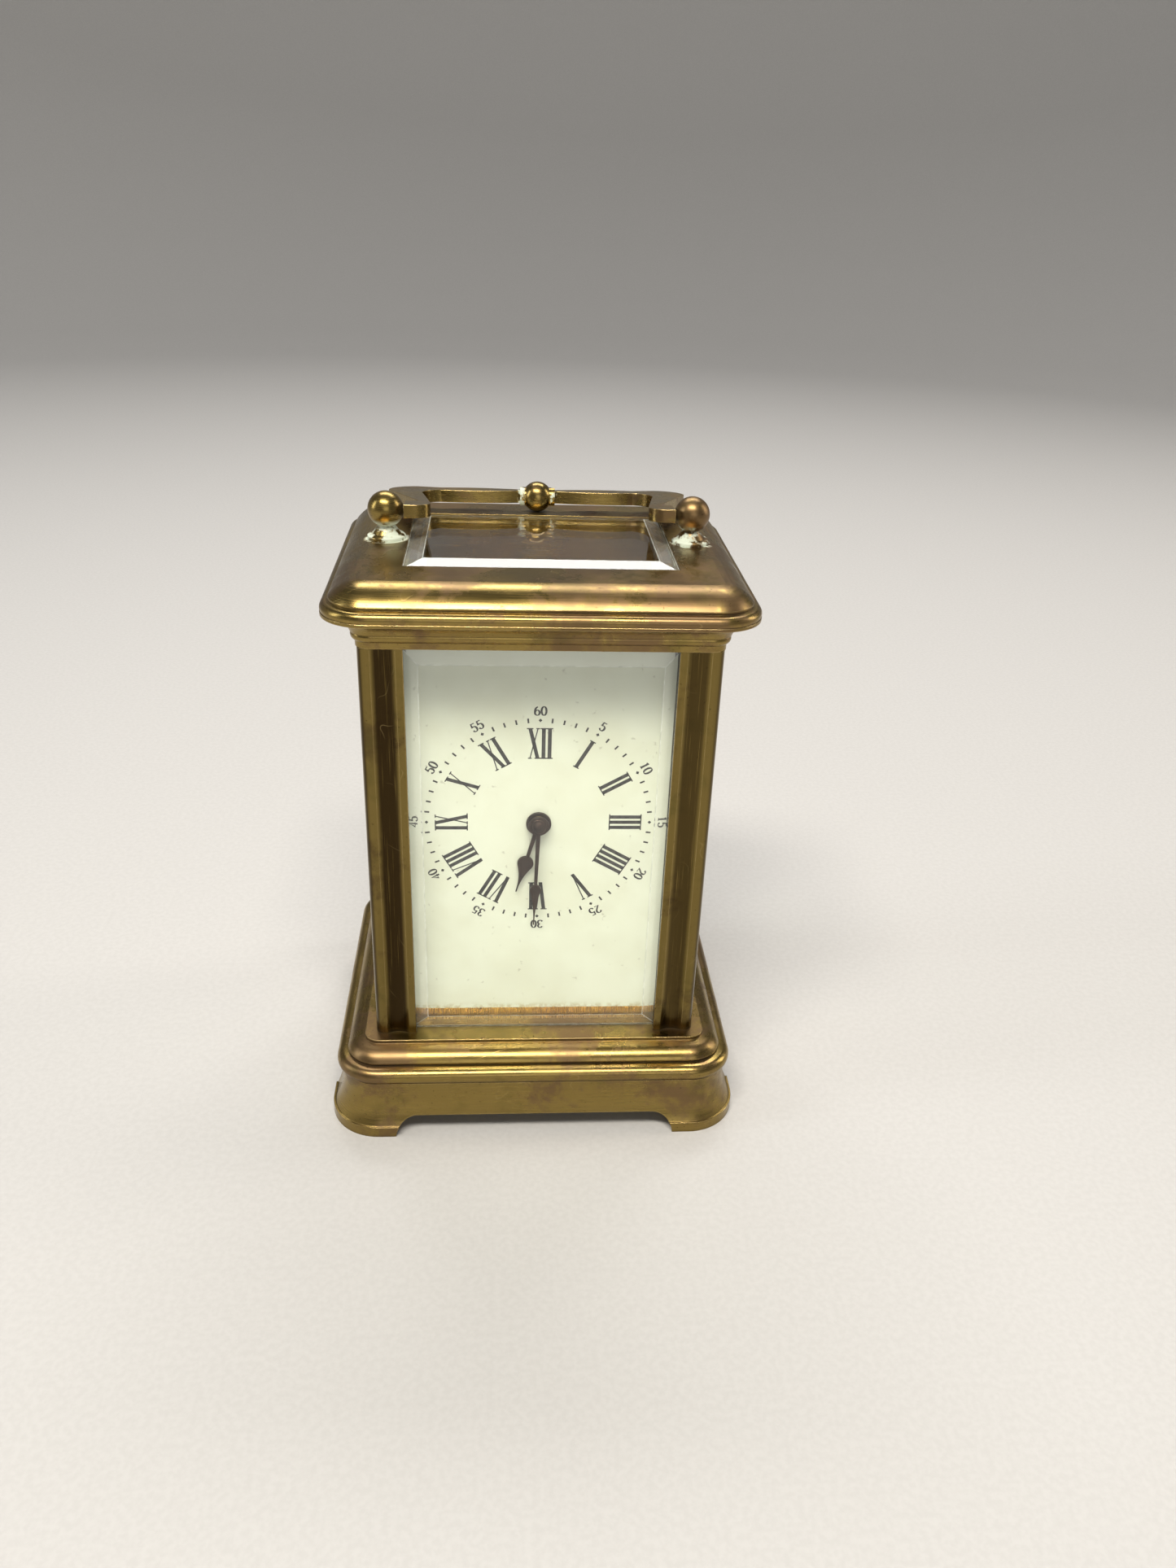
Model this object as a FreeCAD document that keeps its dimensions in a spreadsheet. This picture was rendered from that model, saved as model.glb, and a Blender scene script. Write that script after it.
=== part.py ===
"""Brass carriage clock with a folding handle, a bevelled-glass case and a back-wound movement.

Frame: millimetres, +Z up, the dial faces -Y, origin at the centre of the footprint on the ground.
"""
import FreeCAD, Part
import math
import os
import re
import Sketcher

Vector = FreeCAD.Vector
UP = Vector(0, 0, 1)

# Driving sizes, in millimetres and degrees.
SIZES = {
    # case
    "case_width": 80.0,
    "case_depth": 70.0,
    "case_height": 109.0,
    "base_height": 18.0,
    "top_height": 11.4,
    "base_corner_radius": 9.7,
    "rim_corner_radius": 8.1,
    "crown_corner_radius": 1.3,
    "core_lap": 0.6,
    "cut_over": 1.0,
    # base moulding, each "set_in" measured inwards from the widest line of the feet
    "foot_length": 13.0,
    "foot_band_height": 2.3,
    "foot_flare_set_in": 0.35,
    "cutout_height": 4.2,
    "waist_set_in": 2.1,
    "waist_height": 11.3,
    "waist_radius": 14.0,
    "torus_foot_set_in": 2.3,
    "torus_set_in": 2.9,
    "torus_height": 3.1,
    "torus_radius": 1.62,
    "groove_set_in": 3.95,
    "groove_rise": 0.15,
    "ogee_foot_set_in": 3.5,
    "ogee_foot_height": 14.9,
    "ogee_fillet": 0.25,
    "step_set_in": 5.9,
    "step_drop": 1.0,
    "ogee_radius": 3.4,
    "ledge_set_in": 6.9,
    "ledge_edge": 0.7,
    "base_wall": 8.0,
    "base_recess": 9.0,
    "recess_corner_radius": 3.7,
    # top moulding, each "set_in" measured inwards from the widest line of the feet
    "crown_set_in": 10.0,
    "shoulder_set_in": 4.8,
    "shoulder_drop": 2.9,
    "shoulder_foot_drop": 3.2,
    "shoulder_radius": 7.5,
    "rim_set_in": 4.5,
    "rim_foot_set_in": 3.5,
    "rim_top_drop": 3.6,
    "rim_drop": 5.3,
    "rim_radius": 1.15,
    "crown_groove_set_in": 4.95,
    "crown_groove_drop": 3.4,
    "lip_set_in": 3.35,
    "lip_foot_set_in": 4.25,
    "lip_height": 0.55,
    "cove_set_in": 8.0,
    "cove_drop": 8.8,
    "cove_radius": 4.4,
    "bead_drop": 10.3,
    "bead_radius": 0.95,
    "bead_top_set_in": 8.2,
    "bead_top_drop": 8.9,
    "neck_set_in": 8.8,
    # pillars and glass
    "pillar_set_in": 9.1,
    "pillar_width": 7.7,
    "pillar_corner_radius": 1.5,
    "flute_land": 1.3,
    "flute_width": 4.2,
    "flute_radius": 3.6,
    "tenon_radius": 1.5,
    "tenon_length": 4.0,
    "glass_thickness": 2.0,
    "glass_set_back": 1.0,
    "glass_groove": 0.9,
    "glass_clearance": 0.1,
    "glass_bevel_width": 3.2,
    "glass_bevel_depth": 0.9,
    "top_glass_set_in_x": 16.5,
    "top_glass_set_in_y": 18.05,
    "top_glass_thickness": 3.0,
    "top_glass_proud": 0.5,
    "top_glass_lip": 1.2,
    "top_lip_thickness": 1.6,
    # screws
    "screw_radius": 1.5,
    "screw_head_radius": 2.9,
    "screw_head_height": 1.8,
    "screw_bite": 6.0,
    "hole_spare": 0.2,
    "seat_head_height": 1.2,
    "fit": 0.05,
    # handle and its posts
    "post_set_in": 12.55,
    "pivot_rise": 5.17,
    "post_ball_radius": 3.2,
    "post_flange_radius": 3.4,
    "post_flange_height": 0.8,
    "post_flange_chamfer": 0.3,
    "post_neck_foot_radius": 2.6,
    "post_neck_foot_rise": 0.1,
    "post_neck_radius": 1.5,
    "post_shank_radius": 1.4,
    "post_shank_length": 6.0,
    "handle_thickness": 2.3,
    "handle_gap": 0.15,
    "handle_rest_gap": 0.05,
    "handle_ball_radius": 2.85,
    "handle_behind_glass": 3.2,
    "handle_collar_radius": 1.75,
    "handle_collar_length": 0.5,
    "bar_root_width": 2.0,
    "bar_swell_radius": 36.0,
    "bar_end_width": 3.5,
    "bar_end_reach": 5.6,
    "lug_radius": 2.9,
    "lug_reach": 4.6,
    "lug_trim": 0.3,
    "lug_web": 0.6,
    "neck_width": 2.5,
    "notch_radius": 0.8,
    "notch_lean": 0.24,
    "notch_height": 1.12,
    "scroll_reach": 0.9,
    "scroll_rise": 2.9,
    "scroll_radius": 5.2,
    "elbow_radius": 4.0,
    "elbow_reach": 2.1,
    "elbow_drop": 7.2,
    "pin_radius": 0.7,
    "pin_depth": 2.0,
    # back door
    "door_gap": 0.2,
    "door_end_gap": 0.3,
    "door_thickness": 2.5,
    "door_set_back": 0.5,
    "door_rail": 4.0,
    "door_lap": 1.0,
    "door_glass_thickness": 1.8,
    "door_pin_radius": 0.8,
    "door_pin_length": 2.5,
    "door_pin_grip": 36.0,
    "knob_radius": 1.8,
    "knob_height": 3.2,
    "knob_neck_radius": 0.9,
    "knob_neck_height": 1.4,
    "knob_rim_height": 2.1,
    "knob_crown_radius": 1.45,
    "knob_stem_radius": 0.8,
    "knob_stem_length": 1.2,
    # dial and hands
    "dial_centre_drop": 35.3,
    "dial_set_back": 5.5,
    "dial_thickness": 1.0,
    "dial_sill": 2.4,
    "dial_gap": 0.15,
    "dial_hole_radius": 2.0,
    "backing_thickness": 0.5,
    "backing_hole_radius": 9.0,
    "dial_foot_radius": 0.6,
    "hand_thickness": 0.4,
    "hour_hand_length": 15.0,
    "hour_spade_centre": 8.7,
    "hour_spade_width": 3.0,
    "minute_hand_length": 21.3,
    "minute_spade_centre": 13.6,
    "minute_spade_width": 2.1,
    "hour_taper_radius": 11.0,
    "minute_taper_radius": 26.0,
    "spade_shoulder_angle": 32.0,
    "hand_stem_foot": 1.6,
    "hand_stem_width": 0.8,
    "hand_neck_width": 0.6,
    "hand_point_width": 0.24,
    "hand_boss_radius": 2.3,
    "minute_boss_radius": 1.9,
    "hour_hand_gap": 0.4,
    "minute_hand_gap": 1.3,
    "hour_hand_angle": 195.6,
    "minute_hand_angle": 181.8,
    # movement plates
    "plate_width": 40.0,
    "plate_headroom": 12.4,
    "plate_thickness": 1.8,
    "motion_gap": 2.9,
    "plate_gap": 23.2,
    "plate_pillar_radius": 2.2,
    "plate_pillar_waist": 1.75,
    "plate_pillar_collar": 3.0,
    "plate_pillar_inset": 3.5,
    "plate_screw_radius": 0.9,
    "plate_screw_head": 1.9,
    "plate_head_height": 0.9,
    "plate_screw_bite": 2.0,
    # going train
    "barrel_teeth": 96,
    "centre_leaves": 12,
    "barrel_module": 0.30,
    "centre_teeth": 80,
    "third_leaves": 10,
    "centre_module": 0.28,
    "third_teeth": 75,
    "fourth_leaves": 10,
    "third_module": 0.26,
    "contrate_teeth": 70,
    "escape_leaves": 7,
    "contrate_module": 0.22,
    "third_direction": 50.0,
    "fourth_direction": 166.0,
    "wheel_thickness": 0.8,
    "spoke_width": 1.2,
    "rim_width": 0.9,
    "hub_wall": 1.5,
    "great_wheel_thickness": 1.4,
    "centre_pipe_radius": 1.2,
    "pinion_length": 1.9,
    "pinion_lap": 0.5,
    "centre_pipe_end": 0.6,
    "arbor_radius": 0.7,
    "pivot_radius": 0.4,
    "pivot_end_gap": 0.3,
    "end_shake": 0.2,
    "running_fit": 0.08,
    "great_wheel_gap": 3.0,
    "third_wheel_depth": 4.6,
    "contrate_depth": 12.6,
    "contrate_tooth_height": 1.2,
    "contrate_mesh": 0.165,
    "contrate_rim_out": 0.4,
    "contrate_rim_in": 1.0,
    "contrate_tooth_length": 0.75,
    "barrel_radius": 13.0,
    "barrel_length": 10.0,
    "barrel_wall": 0.9,
    "barrel_end_gap": 0.8,
    "barrel_arbor_radius": 1.6,
    "barrel_hub_radius": 2.6,
    "spring_turns": 8,
    "spring_strip": 0.45,
    "spring_gap": 0.3,
    "square_width": 2.4,
    "winding_square_length": 7.0,
    "hand_square_length": 5.5,
    "hand_square_gap": 0.5,
    "ratchet_radius": 5.6,
    "ratchet_teeth": 24,
    "ratchet_thickness": 1.0,
    "ratchet_tooth_height": 0.9,
    "ratchet_gap": 0.3,
    "click_length": 8.2,
    "click_angle": 52.0,
    "click_screw_radius": 0.75,
    "click_head_radius": 1.5,
    "click_head_height": 0.8,
    "click_head_gap": 0.1,
    "click_gap": 0.12,
    "click_half_width": 1.6,
    "click_eye_rise": 0.6,
    "click_tail": 1.5,
    "click_tail_half": 0.8,
    "click_shoulder": 1.0,
    "click_nose_half": 0.4,
    "click_spring_offset": 2.2,
    "click_spring_length": 8.0,
    "click_spring_tail": 5.0,
    "click_spring_width": 0.8,
    "click_spring_strip": 0.4,
    "click_spring_foot": 3.4,
    "click_spring_foot_radius": 1.3,
    # motion work behind the dial
    "cannon_leaves": 12,
    "minute_wheel_teeth": 36,
    "minute_leaves": 10,
    "hour_wheel_teeth": 40,
    "motion_distance": 7.2,
    "motion_direction": -60.0,
    "cannon_radius": 1.2,
    "cannon_nose_radius": 1.0,
    "cannon_proud": 0.1,
    "cannon_pinion_length": 1.1,
    "cannon_pinion_gap": 0.3,
    "minute_wheel_gap": 0.5,
    "minute_wheel_thickness": 0.7,
    "minute_pinion_length": 1.1,
    "motion_lap": 0.1,
    "hour_wheel_thickness": 0.6,
    "stud_gap": 0.4,
    "hour_pipe_radius": 1.65,
    # platform escapement
    "platform_length": 34.0,
    "platform_thickness": 1.5,
    "platform_screw_radius": 0.5,
    "platform_head_radius": 1.2,
    "platform_head_height": 0.7,
    "platform_screw_bite": 2.8,
    "fine_pivot_radius": 0.3,
    "staff_shake": 0.1,
    "staff_pivot_depth": 0.5,
    "escape_teeth": 15,
    "escape_radius": 4.6,
    "escape_lift": 1.6,
    "escape_tooth_height": 1.3,
    "escape_wheel_thickness": 0.5,
    "escape_rim": 0.7,
    "escape_hub_radius": 0.9,
    "escape_stem_radius": 0.35,
    "escape_hole_gap": 0.6,
    "escape_pinion_drop": 1.3,
    "escape_pinion_length": 2.4,
    "escape_leaf_root": 0.35,
    "escape_leaf_tip": 0.14,
    "lower_pivot_radius": 0.2,
    "potence_drop": 3.4,
    "potence_thickness": 1.1,
    "potence_half": 1.2,
    "potence_front": 0.35,
    "potence_reach": 4.2,
    "potence_stem": 1.6,
    "potence_floor": 0.4,
    "cylinder_radius": 0.75,
    "cylinder_clearance": 0.15,
    "escape_bridge_rise": 2.9,
    "bridge_thickness": 0.8,
    "bridge_foot_length": 2.8,
    "bridge_foot_gap": 0.6,
    "bridge_foot_half": 1.6,
    "bridge_arm_half": 1.2,
    "balance_radius": 8.2,
    "balance_rim": 1.0,
    "balance_rise": 4.5,
    "balance_thickness": 0.9,
    "balance_seat": 0.2,
    "collet_radius": 0.55,
    "cock_rise": 7.7,
    "cock_thickness": 1.2,
    "cock_width": 5.0,
    "cock_foot_length": 4.0,
    "cock_set_in": 0.4,
    "hairspring_radius": 4.2,
    "hairspring_turns": 6,
    "hairspring_gap": 0.9,
    "hairspring_strip": 0.12,
    "hairspring_height": 0.4,
    "regulator_radius": 2.2,
    "regulator_length": 7.5,
    "regulator_width": 0.8,
    "regulator_thickness": 0.4,
    "regulator_gap": 0.1,
    "jewel_radius": 0.9,
    "jewel_thickness": 0.4,
    "seat_screw_x": 16.5,
    "dial_foot_x": 14.0,
    "dial_foot_z": 40.0,
    "platform_screw_x": 14.0,
}

# Teeth: heights as shares of the module, half widths as shares of the pitch.
WHEEL_ROOT = 1.15
WHEEL_TIP = 0.70
WHEEL_ROOT_HALF = 0.20
WHEEL_TIP_HALF = 0.07
LEAF_ROOT = 1.20
LEAF_TIP = 0.65
LEAF_ROOT_HALF = 0.17
LEAF_TIP_HALF = 0.07
CROWN_ROOT_HALF = 0.24
CROWN_TIP_HALF = 0.10
RATCHET_ROOT_HALF = 0.42
RATCHET_TIP_HALF = 0.06
RATCHET_LEAN = 0.3
ESCAPE_ROOT_HALF = 0.22
ESCAPE_TIP_HALF = 0.05
ESCAPE_LEAN = 0.25
ESCAPE_LEAF_ROOT_HALF = 0.14
ESCAPE_LEAF_TIP_HALF = 0.06

# Screw slots, as shares of the head's radius and height.
SLOT_HALF_WIDTH = 0.11
SLOT_HALF_LENGTH = 1.1
SLOT_DEPTH = 0.45

TRAIN_SPOKES = 4
SMALL_WHEEL_SPOKES = 3
TAU = 2 * math.pi

# Places worked out from the driving sizes.
PLACES = {
    "half_width": "case_width / 2",
    "half_depth": "case_depth / 2",
    "ring_set_in": "ledge_set_in + core_lap",
    "crown_ring_set_in": "crown_set_in + core_lap",
    "rim_out_x": "half_width - lip_set_in",
    "rim_out_y": "half_depth - lip_set_in",
    "pillar_top": "case_height - top_height",
    "pillar_height": "pillar_top - base_height",
    "pillar_out_x": "half_width - pillar_set_in",
    "pillar_out_y": "half_depth - pillar_set_in",
    "pillar_mid_x": "pillar_out_x - pillar_width / 2",
    "pillar_mid_y": "pillar_out_y - pillar_width / 2",
    "window_x": "pillar_out_x - pillar_width",
    "window_y": "pillar_out_y - pillar_width",
    "glass_face_x": "pillar_out_x - glass_set_back",
    "glass_face_y": "pillar_out_y - glass_set_back",
    "top_glass_x": "half_width - top_glass_set_in_x",
    "top_glass_y": "half_depth - top_glass_set_in_y",
    "top_glass_floor": "case_height + top_glass_proud - top_glass_thickness",
    "post_x": "half_width - post_set_in",
    "pivot_height": "case_height + pivot_rise",
    "handle_reach": "top_glass_y + handle_behind_glass",
    "handle_tilt": "asin((pivot_rise - handle_ball_radius - handle_rest_gap) / handle_reach)",
    "arm_end_x": "post_x - post_ball_radius - handle_gap",
    "door_face_y": "pillar_out_y - door_set_back",
    "door_mid_y": "door_face_y - door_thickness / 2",
    "door_x": "window_x - door_gap",
    "door_low": "base_height + door_end_gap",
    "door_high": "pillar_top - door_end_gap",
    "door_mid_z": "(door_low + door_high) / 2",
    "hinge_x": "door_x - door_thickness / 2",
    "dial_centre_height": "pillar_top - dial_centre_drop",
    "dial_y": "dial_set_back - pillar_out_y",
    "backing_y": "dial_y + dial_thickness",
    "motion_y": "backing_y + backing_thickness",
    "front_plate_y": "motion_y + motion_gap",
    "train_y": "front_plate_y + plate_thickness",
    "back_plate_y": "train_y + plate_gap",
    "rear_y": "back_plate_y + plate_thickness",
    "plate_top": "pillar_top - plate_headroom",
    "barrel_z": "dial_centre_height - barrel_module * (barrel_teeth + centre_leaves) / 2",
    "third_distance": "centre_module * (centre_teeth + third_leaves) / 2",
    "third_x": "third_distance * cos(third_direction)",
    "third_z": "dial_centre_height + third_distance * sin(third_direction)",
    "fourth_distance": "third_module * (third_teeth + fourth_leaves) / 2",
    "fourth_x": "third_x + fourth_distance * cos(fourth_direction)",
    "fourth_z": "third_z + fourth_distance * sin(fourth_direction)",
    "barrel_y": "train_y + barrel_end_gap",
    "great_wheel_y": "barrel_y + barrel_length",
    "centre_pinion_y": "great_wheel_y - pinion_lap",
    "centre_wheel_y": "great_wheel_y + great_wheel_thickness + great_wheel_gap",
    "third_wheel_y": "train_y + third_wheel_depth",
    "contrate_y": "train_y + contrate_depth",
    "contrate_radius": "contrate_module * contrate_teeth / 2",
    "contrate_tip_y": "contrate_y + wheel_thickness + contrate_tooth_height",
    "escape_pitch": "contrate_module * escape_leaves / 2",
    "escape_y": "contrate_tip_y - contrate_mesh + escape_pitch",
    "platform_top": "plate_top + platform_thickness",
    "balance_distance": "escape_radius + cylinder_radius + cylinder_clearance",
    "balance_y": "escape_y - sqrt(balance_distance ^ 2 - fourth_x ^ 2)",
    "motion_x": "motion_distance * cos(motion_direction)",
    "motion_z": "dial_centre_height + motion_distance * sin(motion_direction)",
    "click_x": "click_length * cos(click_angle)",
    "click_z": "barrel_z + click_length * sin(click_angle)",
    "minute_wheel_y": "front_plate_y - minute_wheel_gap - minute_wheel_thickness",
    "hour_wheel_y": "minute_wheel_y - minute_pinion_length + motion_lap",
    "ratchet_y": "rear_y + ratchet_gap",
    "click_y": "ratchet_y + ratchet_thickness",
    "arbor_front_y": "front_plate_y + pivot_end_gap",
    "staff_foot_z": "platform_top - staff_pivot_depth",
    "balance_z": "platform_top + balance_rise",
    "hairspring_z": "balance_z + balance_thickness + hairspring_gap",
    "cock_low": "platform_top + cock_rise",
    "cock_top": "cock_low + cock_thickness",
    "bridge_low": "platform_top + escape_bridge_rise",
    "bridge_top": "bridge_low + bridge_thickness",
    "potence_z": "fourth_z + contrate_radius - potence_drop",
    "escape_foot_z": "potence_z + potence_floor + staff_shake",
    "front_seat_y": "front_plate_y + plate_thickness / 2",
    "rear_seat_y": "rear_y - plate_thickness / 2",
    "seat_screw_y": "(train_y + back_plate_y) / 2",
    "ball_end": "handle_ball_radius + handle_collar_length",
    "minute_hand_y": "dial_y - minute_hand_gap - hand_thickness",
    "hour_hand_y": "dial_y - hour_hand_gap - hand_thickness",
}

DOC = FreeCAD.newDocument("carriage_clock")
SHEET = DOC.addObject("Spreadsheet::Sheet", "sizes")
WORD = re.compile(r"[a-z_]+")
SUB_PARTS = []


def fill_sheet():
    """Write every driving size to the sheet, as a number with its name as alias."""
    for row, (name, number) in enumerate(SIZES.items(), start=1):
        SHEET.set("A%d" % row, name)
        SHEET.set("B%d" % row, str(number))
        SHEET.setAlias("B%d" % row, name)
    DOC.recompute()


def full(text):
    """Spell an expression out down to the cells of the sheet."""
    def swap(match):
        word = match.group(0)
        if word in PLACES:
            return "(" + full(PLACES[word]) + ")"
        if word in SIZES:
            return "sizes." + word
        return word
    return WORD.sub(swap, str(text))


def value(text):
    """The present number of an expression."""
    found = SHEET.evalExpression(full(text))
    return float(getattr(found, "Value", found))


def bind(target, prop, text):
    """Bind a property of an object to an expression over the sheet."""
    target.setExpression(prop, full(text))


def place(target, x="0", y="0", z="0", axis=None, angle=None):
    """Bind an object's placement; the turn is about one axis, by an expression in degrees."""
    if axis is not None:
        target.Placement = FreeCAD.Placement(Vector(0, 0, 0), FreeCAD.Rotation(axis, value(angle)))
    for letter, text in (("x", x), ("y", y), ("z", z)):
        bind(target, "Placement.Base." + letter, text)


def sub_part(target, label):
    """Give an object its label and count it among the sub-parts that are written."""
    target.Label = label
    SUB_PARTS.append(target)
    return target


# --- sketches -----------------------------------------------------------------------------------

def hold_point(sketch, geometry, end, x, y):
    """Tie one end of a sketch element to its place from the sketch origin."""
    for kind, text in (("DistanceX", x), ("DistanceY", y)):
        index = sketch.addConstraint(Sketcher.Constraint(kind, -1, 1, geometry, end, value(text)))
        bind(sketch, "Constraints[%d]" % index, text)


def arc_between(first, last, radius, left):
    """Arc of a radius from first to last, its centre to the left or right of the way."""
    chord = last.sub(first)
    half = chord.Length / 2
    rise = math.sqrt(max(radius ** 2 - half ** 2, 0.0))
    side = Vector(-chord.y, chord.x, 0).normalize()
    if not left:
        side = side.negative()
    centre = first.add(chord.multiply(0.5)).add(side.multiply(rise))
    begin, finish = (first, last) if left else (last, first)
    start_angle = math.atan2(begin.y - centre.y, begin.x - centre.x)
    end_angle = math.atan2(finish.y - centre.y, finish.x - centre.x)
    if end_angle <= start_angle:
        end_angle += 2 * math.pi
    return Part.ArcOfCircle(Part.Circle(centre, UP, radius), start_angle, end_angle)


def outline(sketch, points):
    """Closed outline of (x, y) or (x, y, radius, "left" or "right") expressions.

    A point with a radius starts an arc whose centre lies on that side of the way to the next point.
    """
    corners = [Vector(value(point[0]), value(point[1]), 0) for point in points]
    ends = []
    for index, point in enumerate(points):
        first = corners[index]
        last = corners[(index + 1) % len(points)]
        if len(point) == 2:
            geometry = sketch.addGeometry(Part.LineSegment(first, last))
            ends.append((geometry, 1, 2))
            continue
        radius = value(point[2])
        left = point[3] == "left"
        geometry = sketch.addGeometry(arc_between(first, last, radius, left))
        ends.append((geometry, 1, 2) if left else (geometry, 2, 1))
        bound = sketch.addConstraint(Sketcher.Constraint("Radius", geometry, radius))
        bind(sketch, "Constraints[%d]" % bound, point[2])
    for index, (geometry, start, finish) in enumerate(ends):
        following = ends[(index + 1) % len(ends)]
        joined = Sketcher.Constraint("Coincident", geometry, finish, following[0], following[1])
        sketch.addConstraint(joined)
        hold_point(sketch, geometry, start, points[index][0], points[index][1])


def rectangle(sketch, x_low, x_high, y_low, y_high):
    """Rectangle between four expressions."""
    outline(sketch, [(x_low, y_low), (x_high, y_low), (x_high, y_high), (x_low, y_high)])


def rounded_rectangle(sketch, half_x, half_y, radius):
    """Rectangle about the sketch origin with round corners."""
    flat_x = "(%s) - (%s)" % (half_x, radius)
    flat_y = "(%s) - (%s)" % (half_y, radius)
    outline(sketch, [
        (flat_x, "-(%s)" % half_y, radius, "left"),
        (half_x, "-(%s)" % flat_y),
        (half_x, flat_y, radius, "left"),
        (flat_x, half_y),
        ("-(%s)" % flat_x, half_y, radius, "left"),
        ("-(%s)" % half_x, flat_y),
        ("-(%s)" % half_x, "-(%s)" % flat_y, radius, "left"),
        ("-(%s)" % flat_x, "-(%s)" % half_y),
    ])


def circle(sketch, x, y, radius):
    """Circle with its centre and radius bound."""
    centre = Vector(value(x), value(y), 0)
    geometry = sketch.addGeometry(Part.Circle(centre, UP, value(radius)))
    hold_point(sketch, geometry, 3, x, y)
    index = sketch.addConstraint(Sketcher.Constraint("Radius", geometry, value(radius)))
    bind(sketch, "Constraints[%d]" % index, radius)


# --- part design bodies ----------------------------------------------------------------------------

def new_body(label):
    """Empty body for one sub-part."""
    return sub_part(DOC.addObject("PartDesign::Body", label), label)


def sketch_on(body, role, offset="0"):
    """Sketch on one of the body's own origin planes, moved along the plane's normal."""
    plane = [item for item in body.Origin.OriginFeatures if item.Role == role][0]
    sketch = body.newObject("Sketcher::SketchObject", body.Label + "_sketch")
    sketch.AttachmentSupport = [(plane, "")]
    sketch.MapMode = "FlatFace"
    bind(sketch, "AttachmentOffset.Base.z", offset)
    return sketch


def pad(body, sketch, length):
    """Add the sketch's outline along its plane's normal."""
    feature = body.newObject("PartDesign::Pad", body.Label + "_pad")
    feature.Profile = sketch
    bind(feature, "Length", length)
    return feature


def pocket(body, sketch, length):
    """Cut the sketch's outline against its plane's normal."""
    feature = body.newObject("PartDesign::Pocket", body.Label + "_pocket")
    feature.Profile = sketch
    bind(feature, "Length", length)
    return feature


def add_up(body, z_low, z_high, draw, *sizes):
    """Pad between two heights; the sketch plane is X-Y."""
    sketch = sketch_on(body, "XY_Plane", z_low)
    draw(sketch, *sizes)
    return pad(body, sketch, "(%s) - (%s)" % (z_high, z_low))


def cut_up(body, z_low, z_high, draw, *sizes):
    """Pocket between two heights; the sketch plane is X-Y."""
    sketch = sketch_on(body, "XY_Plane", z_high)
    draw(sketch, *sizes)
    return pocket(body, sketch, "(%s) - (%s)" % (z_high, z_low))


def add_back(body, y_front, y_back, draw, *sizes):
    """Pad between two depths; the sketch plane is X-Z."""
    sketch = sketch_on(body, "XZ_Plane", "-(%s)" % y_back)
    draw(sketch, *sizes)
    return pad(body, sketch, "(%s) - (%s)" % (y_back, y_front))


def cut_back(body, y_front, y_back, draw, *sizes):
    """Pocket between two depths; the sketch plane is X-Z."""
    sketch = sketch_on(body, "XZ_Plane", "-(%s)" % y_front)
    draw(sketch, *sizes)
    return pocket(body, sketch, "(%s) - (%s)" % (y_back, y_front))


def cut_side(body, x_low, x_high, draw, *sizes):
    """Pocket between two X planes; the sketch plane is Y-Z."""
    sketch = sketch_on(body, "YZ_Plane", x_high)
    draw(sketch, *sizes)
    return pocket(body, sketch, "(%s) - (%s)" % (x_high, x_low))


def turned(label, points):
    """Body of revolution about local Z from an outline of (radius, height) expressions."""
    body = new_body(label)
    sketch = sketch_on(body, "XZ_Plane")
    outline(sketch, points)
    feature = body.newObject("PartDesign::Revolution", label + "_turning")
    feature.Profile = sketch
    feature.ReferenceAxis = (sketch, ["V_Axis"])
    feature.Angle = 360
    return body


def stepped(steps):
    """Outline of a solid stepped arbor from (radius, end height) pairs, starting at height 0."""
    points = [("0", "0")]
    height = "0"
    for radius, end in steps:
        points.append((radius, height))
        points.append((radius, end))
        height = end
    points.append(("0", height))
    return points


def along_y(body, x, y, z):
    """Place a body so that its local Z points to +Y, the back of the clock."""
    place(body, x, y, z, Vector(1, 0, 0), "-90")


# --- shapes made with Part's own functions ------------------------------------------------------

def shaped(label, shape, x="0", y="0", z="0", axis=Vector(1, 0, 0), angle="0"):
    """Sub-part whose shape is set first and placed after."""
    feature = sub_part(DOC.addObject("Part::Feature", label), label)
    feature.Shape = shape
    place(feature, x, y, z, axis, angle)
    return feature


def ring_wire(radius):
    """Circle wire about the local Z axis."""
    return Part.Wire([Part.Circle(Vector(0, 0, 0), UP, radius).toShape()])


def toothed_wire(teeth, root, tip, root_half, tip_half, turn, lean=0.0):
    """Closed outline of straight-sided teeth; the half widths and the lean are shares of the pitch."""
    pitch = TAU / teeth
    points = []
    for tooth in range(teeth):
        middle = tooth * pitch + turn
        for radius, shift in ((root, -root_half), (tip, lean - tip_half),
                              (tip, lean + tip_half), (root, root_half)):
            angle = middle + shift * pitch
            points.append(Vector(radius * math.cos(angle), radius * math.sin(angle), 0))
    points.append(points[0])
    return Part.makePolygon(points)


def sector_wire(inner, outer, start, finish):
    """Closed outline of one window between two spokes of a wheel."""
    def at(radius, angle):
        return Vector(radius * math.cos(angle), radius * math.sin(angle), 0)
    middle = (start + finish) / 2
    return Part.Wire([
        Part.Arc(at(inner, start), at(inner, middle), at(inner, finish)).toShape(),
        Part.LineSegment(at(inner, finish), at(outer, finish)).toShape(),
        Part.Arc(at(outer, finish), at(outer, middle), at(outer, start)).toShape(),
        Part.LineSegment(at(outer, start), at(inner, start)).toShape(),
    ])


def plate_of(wires, thickness):
    """Flat plate about local Z from its outline and the outlines of its holes."""
    return Part.Face(wires, "Part::FaceMakerBullseye").extrude(Vector(0, 0, thickness))


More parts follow.
